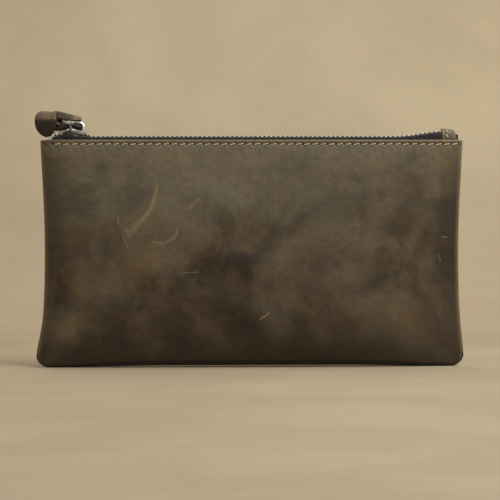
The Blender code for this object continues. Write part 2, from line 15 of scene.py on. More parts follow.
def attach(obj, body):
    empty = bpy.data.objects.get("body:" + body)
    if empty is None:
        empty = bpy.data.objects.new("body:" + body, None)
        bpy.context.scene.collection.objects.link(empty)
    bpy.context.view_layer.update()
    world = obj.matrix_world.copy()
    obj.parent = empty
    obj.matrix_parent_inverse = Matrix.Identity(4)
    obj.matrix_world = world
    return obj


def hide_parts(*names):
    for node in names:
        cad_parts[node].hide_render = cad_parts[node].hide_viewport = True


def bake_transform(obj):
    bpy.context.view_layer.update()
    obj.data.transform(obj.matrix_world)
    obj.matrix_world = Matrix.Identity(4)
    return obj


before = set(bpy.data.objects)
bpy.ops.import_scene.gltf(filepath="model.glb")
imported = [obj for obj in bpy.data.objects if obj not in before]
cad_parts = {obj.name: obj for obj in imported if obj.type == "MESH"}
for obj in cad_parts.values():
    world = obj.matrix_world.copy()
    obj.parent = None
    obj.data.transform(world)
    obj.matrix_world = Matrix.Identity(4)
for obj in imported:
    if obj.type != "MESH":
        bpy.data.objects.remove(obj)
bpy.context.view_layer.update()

MM = 0.001
SEED = 11
FRONT, BACK = -1, 1

# The pouch's shape
WIDTH, HEIGHT, LEATHER = 204.8, 110.4, 1.5
CORNER, EDGE_ROUND = 6.2, 2.5
SIDE_PULL, CORNER_FLARE, LEFT_FLARE = 2.0, 0.9, 1.5
BELLY, TOP_SHARE, BELLY_HEIGHT = 7.5, 0.63, 38.0
FOOT_CUT = 0.5
SEAM_GAP = 0.06
BOTTOM_RISE = 0.7  # the bottom edge bows up a little between its corners

# The zip's path
PITCH, SPINE_OUTER = 2.23, 2.2
TOOTH_HALF_THICK = 0.85
CHAIN_MIDDLE, CHAIN_LEFT, CHAIN_RIGHT = HEIGHT + 0.75, HEIGHT + 2.7, HEIGHT + 3.1
CHAIN_LEAN = 0.12  # the rows lean out and down, so that the teeth stand clear of the tape
TEETH_END, TAPE_END = 92.83, 97.0
ARC_START, ARC_RADIUS, ARC_ANGLE, ARC_LIFT = -94.2, 4.0, math.radians(86), 0.5
ROW_LENGTH = TAPE_END - ARC_START + ARC_RADIUS * ARC_ANGLE
TAPE, TAPE_DEPTH = 0.5, 10.0
TAPE_TAIL, BARE_END = 2.9, 2.9  # tape past the blind end, and past the last tooth
CORD_OUT, CORD_DROP, CORD_RADIUS, CORD_SIDES = 1.62, 0.12, 0.44, 8
SLIDER_X, SLIDER_HALF, SLIDER_WIDE, SPREAD = -84.7, 4.5, 4.65, 1.6
SLIDER_TILT = math.radians(16)  # nose down, as the chain drops away from it

STITCH, STITCH_LINE = 4.0, HEIGHT - 2.5
THREAD_RADIUS, TAB_THREAD_RADIUS = 0.29, 0.34

# How finely the leather is meshed, and the degrees of the arc over its rim
SKIN_COLUMNS, LOW_ROWS, RIM_ROWS = 301, 92, 26
RIM_ARC = (30, 60, 90, 120, 150)
RIM_BAND = 8.0

# The stage, in metres
FLOOR_HALF, FLOOR_FRONT, BACKDROP_START, BACKDROP_TOP = 3.0, -4.0, 0.25, 1.9
BACKDROP_CURVE, CURVE_STEPS = 0.35, 12
CAMERA_DISTANCE, CAMERA_RISE, CAMERA_TURN = 1.40, 0.0554, math.radians(3.0)
SENSOR, FRAME_WIDTH = 36, 0.2423
AIM = (-0.0011, 0, 0.0566)
LAMP_WHITE, SKY_WHITE = (1, 0.98, 0.93), (1.0, 0.97, 0.9, 1)


def smooth(t):
    t = np.clip(t, 0.0, 1.0)
    return t * t * (3 - 2 * t)


def ease(t):
    """smooth() for one plain number."""
    t = min(max(t, 0.0), 1.0)
    return t * t * (3 - 2 * t)


def bell(t):
    return np.exp(-(t**2))


# ---- The pouch's shape ----


def half_width(z):
    up = np.clip(z / HEIGHT, 0, 1)
    wide = WIDTH / 2 - SIDE_PULL * np.sin(np.pi * up) ** 1.2
    wide = wide + CORNER_FLARE * bell((z - CORNER) / 12)
    lift = z + FOOT_CUT
    low = np.clip(CORNER - lift, 0, CORNER)
    return wide - np.where(lift < CORNER, CORNER - np.sqrt(CORNER**2 - low**2), 0)


def inset_from_seam(x, z):
    lift = z + FOOT_CUT
    beyond = np.abs(x) - (WIDTH / 2 - CORNER)
    below = CORNER - lift
    to_side = half_width(z) - np.abs(x)
    round_corner = np.minimum(CORNER - np.hypot(beyond, below), to_side)
    plain = np.minimum(to_side, lift)
    return np.maximum(np.where((beyond > 0) & (below > 0), round_corner, plain), 0)


def belly(x, z):
    lift = (z + FOOT_CUT) / BELLY_HEIGHT
    low = (1 - np.clip(1 - lift, 0, 1) ** 3.2) ** 0.625
    high = 1 - (1 - TOP_SHARE) * smooth((lift - 1) / (HEIGHT / BELLY_HEIGHT - 1))
    flatness = 3 + 11 * (np.clip(z, 0, HEIGHT) / HEIGHT) ** 3
    across = 1 - np.minimum(np.abs(x) / half_width(z), 1.0) ** flatness
    return BELLY * np.where(lift < 1, low, high) * across


def half_depth(x, z):
    near = np.minimum(inset_from_seam(x, z) / EDGE_ROUND, 1.0)
    return EDGE_ROUND * np.sqrt(1 - (1 - near) ** 2) + belly(x, z)


def waves(x, z, size, count, seed, stretch=1.0):
    """Smooth seeded noise from -1 to 1 or so, with features about size across."""
    chance = np.random.default_rng(seed)
    total = np.zeros_like(x, dtype=float)
    for _ in range(count):
        angle = chance.uniform(0, 2 * np.pi)
        k = 2 * np.pi / (size * chance.uniform(0.7, 1.6))
        phase = chance.uniform(0, 2 * np.pi)
        total += np.cos(k * (x * math.cos(angle) * stretch + z * math.sin(angle)) + phase)
    return total / math.sqrt(count) * 1.1


def fold(x, z, start, end, width):
    """A crease between two points: 1 along its line, fading out at its ends and sides."""
    ax, az = start
    dx, dz = end[0] - ax, end[1] - az
    length = math.hypot(dx, dz)
    along = ((x - ax) * dx + (z - az) * dz) / length
    aside = ((x - ax) * dz - (z - az) * dx) / length
    taper = smooth(along / (0.35 * length)) * smooth((length - along) / (0.35 * length))
    return bell(aside / width) * taper


def ripple(x, z, side):
    """How far the worn leather lies off the plain inflated shape."""
    inset = inset_from_seam(x, z)
    seed = SEED + (0 if side == FRONT else 50)
    free = smooth(inset / 14) * smooth((HEIGHT - 4 - z) / 14)
    soft = 0.55 * waves(x, z, 70, 9, seed) + 0.22 * waves(x, z, 26, 12, seed + 1)
    out = free * soft
    # puckers that run in from the side and bottom seams
    by_side = smooth(inset / 1.5) * bell((half_width(z) - np.abs(x) - 4) / 7)
    out += 0.20 * by_side * waves(z, z * 0 + np.sign(x) * 40, 13, 6, seed + 2)
    by_bottom = smooth(inset / 1.5) * bell((z - 5) / 6)
    out += 0.16 * by_bottom * waves(x, z * 0, 17, 7, seed + 3)
    # the rim's seam pulls the leather in, and the lining behind it makes a soft step below
    rim = smooth(inset / 3)
    out -= rim * 0.30 * bell((z - STITCH_LINE) / 0.75)
    out += rim * 0.10 * bell((z - (HEIGHT - 1.0)) / 0.8)
    below = bell((z - (STITCH_LINE - 3.0)) / 2.2)
    out += rim * 0.10 * below * np.cos(2 * np.pi * x / STITCH + 0.8)
    if side == FRONT:
        out -= 0.35 * fold(x, z, (-90, 73.5), (-72, 80), 1.1) * free
        out -= 0.20 * fold(x, z, (-58, 98.3), (0, 98.0), 0.8)
        out += 0.25 * fold(x, z, (-90, 99), (30, 97), 2.0)
        out -= 0.25 * fold(x, z, (86, 30), (92, 84), 1.6)
        out -= 0.30 * fold(x, z, (-97, 20), (-93, 60), 1.5)
    else:
        out -= 0.35 * fold(x, z, (30, 88), (78, 70), 1.2) * free
        out -= 0.25 * fold(x, z, (-80, 30), (-62, 62), 1.4) * free
    return out


def skin_point(x, z, side):
    """A point on the outside of a leather panel."""
    y = np.maximum(half_depth(x, z) + ripple(x, z, side), SEAM_GAP)
    bow = BOTTOM_RISE * (1 - smooth((np.abs(x) - 42) / 55)) * smooth((34 - z) / 34)
    height = (z + FOOT_CUT) * HEIGHT / (HEIGHT + FOOT_CUT)
    # the left bottom corner is pulled out a little further than the right one
    out = LEFT_FLARE * bell((z - 3) / 13) * smooth((-x - 70) / 28)
    return np.stack([x - out, side * y, height + bow], axis=-1)


# ---- Mesh helpers ----


def linked(name, data):
    made = bpy.data.objects.new(name, data)
    bpy.context.scene.collection.objects.link(made)
    return made


def finished(mesh, finish, points):
    """Gives a mesh its finish and, for that finish, its points' rest places in millimetres."""
    mesh.materials.append(finish)
    place = mesh.attributes.new("rest_mm", "FLOAT_VECTOR", "POINT")
    place.data.foreach_set("vector", np.asarray(points, np.float32).ravel())
    mesh.shade_smooth()


def add_mesh(name, points, faces, finish, smooth_angle=180):
    """A mesh object from points in millimetres."""
    mesh = bpy.data.meshes.new(name)
    points = np.asarray(points, float)
    mesh.from_pydata((points * MM).tolist(), [], faces)
    finished(mesh, finish, points)
    if smooth_angle < 180:
        mesh.set_sharp_from_angle(angle=math.radians(smooth_angle))
    return linked(name, mesh)


def fix_normals(made):
    bm = bmesh.new()
    bm.from_mesh(made.data)
    bmesh.ops.recalc_face_normals(bm, faces=bm.faces)
    bm.to_mesh(made.data)
    bm.free()


def store(made, name, values):
    attribute = made.data.attributes.new(name, "FLOAT", "POINT")
    attribute.data.foreach_set("value", np.asarray(values, np.float32).ravel())


def grid_faces(rows, columns, first=0, flip=False):
    a = np.arange(rows - 1)[:, None] * columns + np.arange(columns - 1)[None, :] + first
    quads = np.stack([a, a + 1, a + columns + 1, a + columns], -1).reshape(-1, 4)
    return (quads[:, ::-1] if flip else quads).tolist()


def tube_faces(rings, sides, base=0, capped=True):
    """Faces between rings of points that follow one another, and over the two ends."""
    faces = []
    for low in range(base, base + (rings - 1) * sides, sides):
        for n in range(sides):
            m = (n + 1) % sides
            faces.append([low + n, low + m, low + sides + m, low + sides + n])
    if capped:
        last = base + (rings - 1) * sides
        faces.append([base + n for n in range(sides)])
        faces.append([last + n for n in reversed(range(sides))])
    return faces


def close_rings(bm, rings):
    """Faces between rings of bmesh points that follow one another, and over the two ends."""
    for low, high in zip(rings, rings[1:]):
        for n in range(len(low)):
            m = (n + 1) % len(low)
            bm.faces.new([low[n], low[m], high[m], high[n]])
    bm.faces.new(rings[0])
    bm.faces.new(rings[-1])


def thicken(made, thickness):
    cloth = made.modifiers.new("cloth_thickness", "SOLIDIFY")
    cloth.thickness = thickness * MM
    cloth.offset = 0


def piece_name(side, kind, half):
    """A piece's name, such as front_teeth_left."""
    return ("front_" if side == FRONT else "back_") + kind + {-1: "_left", 0: "", 1: "_right"}[half]


def sheet_normals(points, side):
    du = np.gradient(points, axis=1)
    dv = np.gradient(points, axis=0)
    normal = np.cross(du, dv)
    normal /= np.maximum(np.linalg.norm(normal, axis=-1, keepdims=True), 1e-9)
    facing = np.where((normal * [0, side, 0]).sum(-1, keepdims=True) < 0, -1, 1)
    return normal * facing


def follow_front(made):
    """A piece of the front, with its place baked into its mesh."""
    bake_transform(made)


# ---- Materials ----


class Graph:
    """A short way to write a material's node tree."""

    def __init__(self, name):
        self.material = bpy.data.materials.new(name)
        self.material.use_nodes = True
        self.tree = self.material.node_tree
        self.shader = self.tree.nodes["Principled BSDF"]

    def node(self, kind, inputs=None, output=0, **settings):
        made = self.tree.nodes.new("ShaderNode" + kind)
        for key, value in settings.items():
            setattr(made, key, value)
        for key, value in (inputs or {}).items():
            self.set(made.inputs[key], value)
        return made.outputs[output]

    def set(self, socket, value):
        if isinstance(value, bpy.types.NodeSocket):
            self.tree.links.new(value, socket)
        else:
            socket.default_value = value

    def surface(self, **values):
        for key, value in values.items():
            self.set(self.shader.inputs[key.replace("_", " ")], value)

    def math(self, operation, a, b=0.0, c=0.0, clamp=False):
        return self.node("Math", {0: a, 1: b, 2: c}, operation=operation, use_clamp=clamp)

    def add(self, a, b):
        return self.math("ADD", a, b)

    def times(self, a, b):
        return self.math("MULTIPLY", a, b)

    def band(self, value, low, high, to_low=0.0, to_high=1.0):
        """value taken smoothly from the range low..high to the range to_low..to_high."""
        inputs = {"Value": value, 1: low, 2: high, 3: to_low, 4: to_high}
        return self.node("MapRange", inputs, interpolation_type="SMOOTHSTEP")

    def vector(self, operation, a, b=(0, 0, 0)):
        output = 1 if operation in ("DOT_PRODUCT", "LENGTH", "DISTANCE") else 0
        return self.node("VectorMath", {0: a, 1: b}, output, operation=operation)

    def rest(self):
        return self.node("Attribute", output=1, attribute_name="rest_mm")

    def number(self, name):
        return self.node("Attribute", output=2, attribute_name=name)

    def axis(self, place, index):
        return self.node("SeparateXYZ", {0: place}, output=index)

    def noise(self, place, size, detail=3.0, roughness=0.5, distortion=0.0):
        inputs = {"Vector": place, "Scale": 1 / size, "Detail": detail}
        return self.node("TexNoise", {**inputs, "Roughness": roughness, "Distortion": distortion})

    def sway(self, noise, size):
        """Noise moved to lie evenly round 0."""
        return self.times(self.math("SUBTRACT", noise, 0.5), size)

    def shaded(self, colour, share):
        grey = self.node("CombineColor", {0: share, 1: share, 2: share})
        return self.mix(1.0, colour, grey, "MULTIPLY")

    def mix(self, factor, a, b, blend="MIX"):
        made = self.tree.nodes.new("ShaderNodeMix")
        made.data_type = "RGBA"
        made.blend_type = blend
        self.set(made.inputs[0], factor)
        self.set(made.inputs[6], (*a, 1) if isinstance(a, tuple) else a)
        self.set(made.inputs[7], (*b, 1) if isinstance(b, tuple) else b)
        return made.outputs[2]

    def bump(self, height, strength, distance_mm, under=None):
        inputs = {"Height": height, "Strength": strength, "Distance": distance_mm * MM}
        if under is not None:
            inputs["Normal"] = under
        return self.node("Bump", inputs)


def srgb(r, g, b):
    """A linear colour from the 0 to 255 numbers a colour picker shows."""
    return tuple(c / 3294.6 if c <= 10 else ((c / 255 + 0.055) / 1.055) ** 2.4 for c in (r, g, b))


DARK = srgb(43, 29, 16)
MIDDLE = srgb(94, 82, 62)
WARM = srgb(100, 80, 53)
SHEEN_GREY = srgb(114, 106, 86)
TAN = srgb(118, 101, 70)
RIM = srgb(106, 91, 64)
RUBBED = srgb(114, 98, 69)
PALE = srgb(136, 118, 86)


def strokes(g, place, lines):
    """The strongest of several soft strokes, each a run of points with a width at each end."""
    total = None
    for line in lines:
        for (ax, az, aw), (bx, bz, bw) in zip(line, line[1:]):
            start, reach = (ax, 0, az), (bx - ax, 0, bz - az)
            away = g.vector("SUBTRACT", place, start)
            along = g.vector("DOT_PRODUCT", away, reach)
            share = g.math("DIVIDE", along, reach[0] ** 2 + reach[2] ** 2, clamp=True)
            inputs = {0: reach, "Scale": share}
            foot = g.node("VectorMath", inputs, operation="SCALE")
            gap = g.vector("LENGTH", g.vector("SUBTRACT", away, foot))
            width = g.math("MULTIPLY_ADD", share, bw - aw, aw)
            near = g.math("DIVIDE", gap, width)
            mark = g.band(near, 1.25, 0.2)
            total = mark if total is None else g.math("MAXIMUM", total, mark)
    return total


def spots(g, place, centres):
    """Soft round patches at (x, z, radius, weight)."""
    total = None
    for x, z, radius, weight in centres:
        gap = g.vector("LENGTH", g.vector("SUBTRACT", place, (x, 0, z)))
        patch = g.times(g.band(gap, radius, radius * 0.15), weight)
        total = patch if total is None else g.math("MAXIMUM", total, patch)
    return total


# Marks on the front, in the pouch's own x and z, with half-widths in millimetres
FRONT_SCRATCHES = (
    ((-45.8, 89, 0.7), (-47.0, 83, 1.3), (-49.8, 76, 1.1), (-54.0, 71, 1.5), (-59.5, 65.6, 2.4)),
    ((-59.8, 65.0, 2.2), (-61.2, 66.4, 1.2)),
    ((-26.0, 81.8, 1.0), (-30.8, 76.8, 0.6)),
    ((-35.5, 68.4, 0.4), (-38.4, 62.6, 0.9), (-42.6, 60.2, 0.8), (-49.0, 61.2, 0.3)),
    ((-64.9, 72.2, 0.6), (-65.0, 70.0, 0.5)),
    ((-62.9, 65.2, 0.3), (-60.7, 58.5, 0.25)),
    ((3.5, 23.5, 0.5), (7.5, 26.5, 0.7)),
    ((-35.0, 46.2, 0.25), (-26.5, 46.4, 0.35)),
    ((91.7, 63.2, 0.25), (94.7, 62.5, 0.35)),
    ((90.6, 54.7, 0.2), (91.0, 50.8, 0.3)),
    ((50.6, 69.6, 0.35), (51.6, 67.5, 0.3)),
    ((-92.6, 47.7, 0.3), (-90.6, 44.7, 0.4)),
)
FRONT_PALE = (
    (74, 84, 24, 0.35), (66, 60, 20, 0.25), (-2, 66, 17, 0.6), (75, 72, 13, 0.6),
    (-60, 101.5, 6, 0.45), (-44, 101.5, 6, 0.45), (-27, 101, 6, 0.45), (-96.4, 75.4, 2.2, 0.55),
    (-97.2, 69.8, 1.8, 0.35), (-92.5, 20.5, 11, 0.75), (-88, 14.5, 5, 0.35), (68.6, 26.4, 4.6, 0.55),
    (-90, 98.5, 9, 0.35), (92, 101, 12, 0.8), (-98, 103, 7, 0.6),
)
FRONT_WARM = (
    (-52, 53, 14, 0.75), (-58, 45, 14, 0.6), (-83, 36, 9, 0.5), (76, 23, 15, 0.75),
    (62, 33, 12, 0.35), (-28, 22, 15, 0.35), (20, 38, 13, 0.35), (-14, 99, 16, 0.45),
    (25, 62, 10, 0.3), (84, 70, 9, 0.3),
)
FRONT_DARK = (
    (-97, 84, 22, 0.65), (-98, 55, 20, 0.55), (-62, 84, 13, 0.45), (98, 66, 10, 0.6),
    (-40, 22, 14, 0.8), (2, 14, 17, 0.7), (44, 17, 15, 0.8), (-88, 80, 14, 0.8),
    (-84, 62, 12, 0.5), (94, 80, 9, 0.7), (95, 52, 8, 0.8), (-14, 38, 13, 0.5),
    (20, 8, 26, 0.5), (-70, 60, 15, 0.4), (60, 12, 16, 0.6),
)
BACK_SCRATCHES = (
    ((38, 80, 0.4), (52, 66, 0.9), (58, 58, 0.5)),
    ((-60, 50, 0.3), (-38, 44, 0.7), (-22, 47, 0.3)),
    ((5, 30, 0.3), (12, 21, 0.6)),
    ((-84, 84, 0.3), (-76, 79, 0.5)),
)
BACK_PALE = ((80, 18, 10, 0.6), (-88, 24, 8, 0.5), (-10, 70, 9, 0.25), (60, 90, 10, 0.3))
BACK_WARM = ((30, 50, 18, 0.6), (-55, 30, 16, 0.6), (-70, 85, 14, 0.4), (75, 60, 12, 0.4))
BACK_DARK = ((0, 15, 24, 0.7), (-25, 60, 18, 0.5), (60, 30, 14, 0.6), (-90, 60, 10, 0.7))


def ragged(g, place, size, reach):
    """The place moved about by clouds of a size, so that what is drawn there has ragged edges."""
    cloud = g.node("TexNoise", {"Vector": place, "Scale": 1 / size, "Detail": 3.0}, output=1)
    centred = g.vector("SUBTRACT", cloud, (0.5, 0.5, 0.5))
    return g.vector("ADD", place, g.vector("MULTIPLY", centred, (reach, 0, reach)))


def leather_colour(g, place, marks):
    """Waxed pull-up leather: dark wax that has moved away from bends, rubs and scratches, with painted
    sheen towards the top and painted shade towards the bottom, a little in from the seams and on the
    sole.
    """
    scratches, pale, warm, dark = marks
    flat = g.vector("MULTIPLY", place, (1, 0, 1))
    loose = ragged(g, flat, 9, 16)
    torn = ragged(g, flat, 1.6, 1.5)

    clouds = g.noise(place, 46, 5.0, 0.55, 0.6)
    patches = g.noise(g.vector("ADD", place, (31, 7, 3)), 17, 5.0, 0.6, 0.8)
    mottle = g.noise(g.vector("ADD", place, (3, 17, 9)), 4.2, 5.0, 0.65, 0.3)
    grain = g.noise(place, 0.8, 3.0, 0.6)
    lines = g.noise(g.vector("MULTIPLY", loose, (0.10, 1.0, 0.75)), 1.5, 4.0, 0.6, 0.8)

    colour = g.mix(g.band(clouds, 0.37, 0.63), DARK, MIDDLE)
    colour = g.mix(g.times(g.band(patches, 0.42, 0.70), 0.55), colour, WARM)
    colour = g.mix(g.times(spots(g, loose, warm), g.band(mottle, 0.25, 0.75, 0.5, 1.0)), colour, WARM)
    colour = g.mix(g.times(spots(g, loose, dark), 0.75), colour, DARK)
    up = g.axis(place, 2)
    # painted sheen: the upper part of the panel is mixed towards a pale grey, standing in for the
    # overhead lamp's reflection
    painted_top_sheen = g.times(g.band(up, 50, 108), g.band(clouds, 0.32, 0.62, 0.35, 0.85))
    colour = g.mix(painted_top_sheen, colour, SHEEN_GREY)
    # painted shade: darker towards the bottom, where less of the overhead light falls
    colour = g.mix(g.times(g.band(up, 36, 2), 0.6), colour, DARK)
    worn = g.times(spots(g, loose, pale), g.band(patches, 0.30, 0.66, 0.35, 1.0))
    colour = g.mix(g.times(worn, 0.75), colour, TAN)

    # painted shade a little in from the seams, where the panel turns away from the light; then the wax
    # thins along the edges: the rim above its stitching, the side rolls, the corners
    edge = g.add(g.number("edge_mm"), g.sway(mottle, 2.6))
    colour = g.mix(g.times(g.band(edge, 16, 3), 0.45), colour, DARK)
    rim = g.add(up, g.sway(mottle, 0.8))
    on_rim = g.band(rim, STITCH_LINE - 0.6, STITCH_LINE + 0.9)
    # painted sheen: a pale grey band just below the rim's stitching
    sheen_under_rim = g.times(g.band(rim, STITCH_LINE - 8, STITCH_LINE - 1), 0.5)
    colour = g.mix(sheen_under_rim, colour, SHEEN_GREY)
    colour = g.mix(g.times(on_rim, 0.8), colour, RIM)
    low_edge = g.band(up, 3.0, 9.0, 0.15, 1.0)
    colour = g.mix(g.times(g.times(g.band(edge, 2.6, 0.4), 0.7), low_edge), colour, TAN)

    hurt = g.times(strokes(g, torn, scratches), g.band(mottle, 0.2, 0.6, 0.55, 1.0))
    hairs = g.noise(g.vector("MULTIPLY", torn, (1.0, 0.0, 0.22)), 1.1, 2.0, 0.5)
    fine = g.times(g.band(hairs, 0.71, 0.80), g.band(clouds, 0.45, 0.6, 0.0, 0.30))
    colour = g.mix(g.times(hurt, 0.7), colour, PALE)
    colour = g.mix(fine, colour, TAN)
    # painted shade on the sole and the lowest part of the front, where they roll under and face the
    # floor, deeper in the middle than at the corners
    x = g.axis(place, 0)
    across = g.math("POWER", g.math("ABSOLUTE", g.math("DIVIDE", x, WIDTH / 2)), 2.5)
    roll = g.math("SUBTRACT", up, g.band(across, 0.0, 1.0, 3.6, 0.6))
    colour = g.mix(g.times(g.band(roll, 2.4, 0.6), 0.5), colour, srgb(64, 44, 34))
    colour = g.mix(g.times(g.band(roll, 0.5, -0.3), 0.85), colour, srgb(24, 17, 12))
    speck = g.times(g.band(grain, 0.3, 0.7, 0.86, 1.12), g.band(mottle, 0.3, 0.7, 0.88, 1.12))
    speck = g.times(speck, g.band(lines, 0.3, 0.7, 0.94, 1.05))
    colour = g.shaded(colour, speck)
    return colour, clouds, mottle, hurt, lines


def stitch_holes(g, place):
    """Where the needle went in along the rim: 1 in a hole, fading round it."""
    x, up = g.axis(place, 0), g.axis(place, 2)
    turns = g.math("WRAP", g.add(x, STITCH / 2), STITCH, 0.0)
    across = g.math("SUBTRACT", turns, STITCH / 2)
    slant = g.add(across, g.times(g.math("SUBTRACT", up, STITCH_LINE), 0.8))
    over = g.math("SUBTRACT", up, STITCH_LINE + 0.1)
    gap = g.math("SQRT", g.add(g.math("POWER", slant, 2), g.times(g.math("POWER", over, 2), 0.35)))
    return g.band(gap, 0.80, 0.35)


def leather(name, marks, holes=True):
    g = Graph(name)
    place = g.rest()
    colour, clouds, mottle, hurt, lines = leather_colour(g, place, marks)
    pores = g.node("TexVoronoi", {"Vector": place, "Scale": 1 / 0.55, "Randomness": 1.0})
    crinkle = g.noise(place, 2.2, 4.0, 0.6, 0.4)
    height = g.add(g.times(g.band(pores, 0.0, 0.45), 0.5), g.times(crinkle, 0.9))
    height = g.add(g.math("SUBTRACT", height, g.times(hurt, 0.55)), g.times(lines, 1.2))
    if holes:
        hole = stitch_holes(g, place)
        colour = g.mix(g.times(hole, 0.85), colour, srgb(22, 14, 10))
        height = g.math("SUBTRACT", height, g.times(hole, 2.2))
    rough = g.add(g.band(clouds, 0.35, 0.65, 0.50, 0.44), g.times(mottle, 0.14))
    rough = g.add(rough, g.times(hurt, 0.12))
    g.surface(Base_Color=colour, Roughness=rough, Normal=g.bump(height, 0.55, 0.12))
    g.surface(Specular_IOR_Level=0.42, Sheen_Weight=0.12, Sheen_Roughness=0.45)
    return g.material


def small_leather(name, dark, light, shade=0.0):
    """The same hide on the small pieces, with paler cut edges and, where shade is given, painted shade
    on their downward-facing undersides.
    """
    g = Graph(name)
    place = g.rest()
    clouds = g.noise(place, 6.0, 4.0, 0.55, 0.5)
    mottle = g.noise(g.vector("ADD", place, (9, 3, 5)), 1.6, 4.0, 0.6)
    colour = g.mix(g.band(clouds, 0.35, 0.66), dark, light)
    edge = g.add(g.number("edge_mm"), g.sway(mottle, 0.9))
    colour = g.mix(g.times(g.band(edge, 1.0, 0.05), 0.55), colour, RUBBED)
    if shade:
        # painted shade on the faces that turn downward
        under = g.add(g.number("under"), g.sway(clouds, 0.5))
        colour = g.mix(g.times(g.band(under, -0.45, 0.15), shade), colour, srgb(20, 15, 11))
    speck = g.band(mottle, 0.25, 0.75, 0.85, 1.15)
    colour = g.shaded(colour, speck)
    pores = g.node("TexVoronoi", {"Vector": place, "Scale": 1 / 0.45})
    height = g.add(g.times(pores, 0.4), mottle)
    g.surface(Base_Color=colour, Roughness=g.add(0.42, g.times(mottle, 0.2)))
    g.surface(Normal=g.bump(height, 0.5, 0.1), Specular_IOR_Level=0.45)
    return g.material


def woven(name, base, light, size, cords=0.0):
    """A twill: slanting ribs that pass over and under, from two numbers stored on the mesh, and
    across them broad cords at the given pitch."""
    g = Graph(name)
    a = g.math("DIVIDE", g.number("weave_a"), size)
    b = g.math("DIVIDE", g.number("weave_b"), size)
    ribs = g.math("SINE", g.times(g.add(a, b), math.pi))
    cross = g.math("SINE", g.times(g.math("SUBTRACT", a, g.times(b, 3.0)), math.pi))
    weave = g.add(g.times(ribs, 0.6), g.times(cross, 0.4))
    fuzz = g.noise(g.rest(), 0.5, 3.0, 0.6)
    tone = g.add(g.band(weave, -0.9, 0.9, 0.0, 0.75), g.times(fuzz, 0.3))
    height = g.add(weave, g.times(fuzz, 0.6))
    if cords:
        broad = g.math("SINE", g.times(g.number("weave_a"), 2 * math.pi / cords))
        tone = g.times(tone, g.band(broad, -0.6, 0.8, 0.35, 1.15))
        height = g.add(height, g.times(broad, 1.6))
    g.surface(Base_Color=g.mix(tone, base, light), Roughness=0.82)
    g.surface(Normal=g.bump(height, 0.7, 0.12))
    g.surface(Specular_IOR_Level=0.35, Sheen_Weight=0.2)
    return g.material


def metal(name, base, rough, wear, shade_from_x=None, heads=False):
    """Plated metal, a little scuffed, with dull bloom in places. Painted shade lies past a place in x,
    or on all but the heads of the teeth, so that only the heads stay bright."""
    g = Graph(name)
    place = g.rest()
    bloom = g.noise(place, 1.7, 4.0, 0.6)
    scuffs = g.noise(g.vector("MULTIPLY", place, (4.0, 1.0, 1.0)), 0.5, 3.0, 0.6)
    tone = g.band(bloom, 0.35, 0.7)
    darker = tuple(c * 0.5 for c in base)
    colour = g.mix(g.times(tone, wear), base, darker)
    dull = g.add(rough, g.times(g.band(scuffs, 0.45, 0.75), 0.16))
    painted_shade = None
    if shade_from_x is not None:
        painted_shade = g.band(g.axis(place, 0), shade_from_x, shade_from_x + 2.2)
    if heads:
        painted_shade = g.math("SUBTRACT", 1.0, g.number("head"))
    if painted_shade is not None:
        # painted shade: dark and duller where it falls
        colour = g.mix(g.times(painted_shade, 0.9), colour, srgb(26, 27, 22))
        dull = g.add(dull, g.times(painted_shade, 0.22))
    g.surface(Base_Color=colour, Metallic=1.0, Roughness=dull)
    g.surface(Normal=g.bump(scuffs, 0.25, 0.03))
    return g.material


def thread_finish(name, pale, deep):
    """Waxed twisted thread: plies that slant round it."""
    g = Graph(name)
    ply = g.math("SINE", g.add(g.times(g.number("twist_a"), 9.0), g.number("twist_b")))
    fuzz = g.noise(g.rest(), 0.6, 3.0, 0.6)
    tone = g.add(g.band(ply, -0.8, 0.8, 0.15, 0.85), g.sway(fuzz, 0.6))
    g.surface(Base_Color=g.mix(tone, deep, pale), Roughness=0.6)
    g.surface(Normal=g.bump(ply, 0.6, 0.08))
    return g.material


HIDE_FRONT = leather("hide_front", (FRONT_SCRATCHES, FRONT_PALE, FRONT_WARM, FRONT_DARK))
HIDE_BACK = leather("hide_back", (BACK_SCRATCHES, BACK_PALE, BACK_WARM, BACK_DARK))
HIDE_SMALL = small_leather("hide_small", srgb(64, 48, 32), srgb(112, 90, 60), 0.85)
HIDE_TAB = small_leather("hide_tab", srgb(92, 80, 58), srgb(122, 108, 80))
TWILL = woven("zip_tape_twill", srgb(18, 13, 16), srgb(70, 56, 60), 0.28, 1.115)
COTTON = woven("lining_cotton", srgb(46, 35, 27), srgb(92, 74, 58), 0.45)
NICKEL = metal("dark_nickel", (0.40, 0.40, 0.37), 0.21, 0.45)
# the link is painted in shade past x = -89, where it runs inside the bridge
LINK_METAL = metal("link_metal", (0.42, 0.42, 0.39), 0.20, 0.45, shade_from_x=-89.0)
POLISHED = metal("polished_nickel", (0.95, 0.95, 0.87), 0.36, 0.2)
# a lock cover whose near-black colour is painted shade inside the bridge
LOCK_SHADE_BLACK = metal("lock_painted_shade", (0.055, 0.06, 0.05), 0.35, 0.5)
# the teeth are painted in shade, all but their heads
TOOTH_METAL = metal("tooth_metal", (0.95, 0.94, 0.86), 0.32, 0.3, heads=True)
THREAD = thread_finish("tan_thread", srgb(224, 208, 180), srgb(160, 138, 110))
CREAM = thread_finish("tab_thread", srgb(222, 212, 184), srgb(176, 156, 122))


# ---- Leather panels and lining ----


def skin_columns():
    u = np.sin(np.pi / 2 * np.linspace(-1, 1, SKIN_COLUMNS))
    u[0], u[-1] = -1, 1
    return u


def skin_heights():
    bend = HEIGHT - RIM_BAND
    low = bend * (1 - np.cos(np.pi / 2 * np.linspace(0, 1, LOW_ROWS)))
    high = np.linspace(bend, HEIGHT - LEATHER / 2, RIM_ROWS)[1:]
    return np.concatenate([low, high]) - FOOT_CUT * (1 - smooth(low[0] - 1))


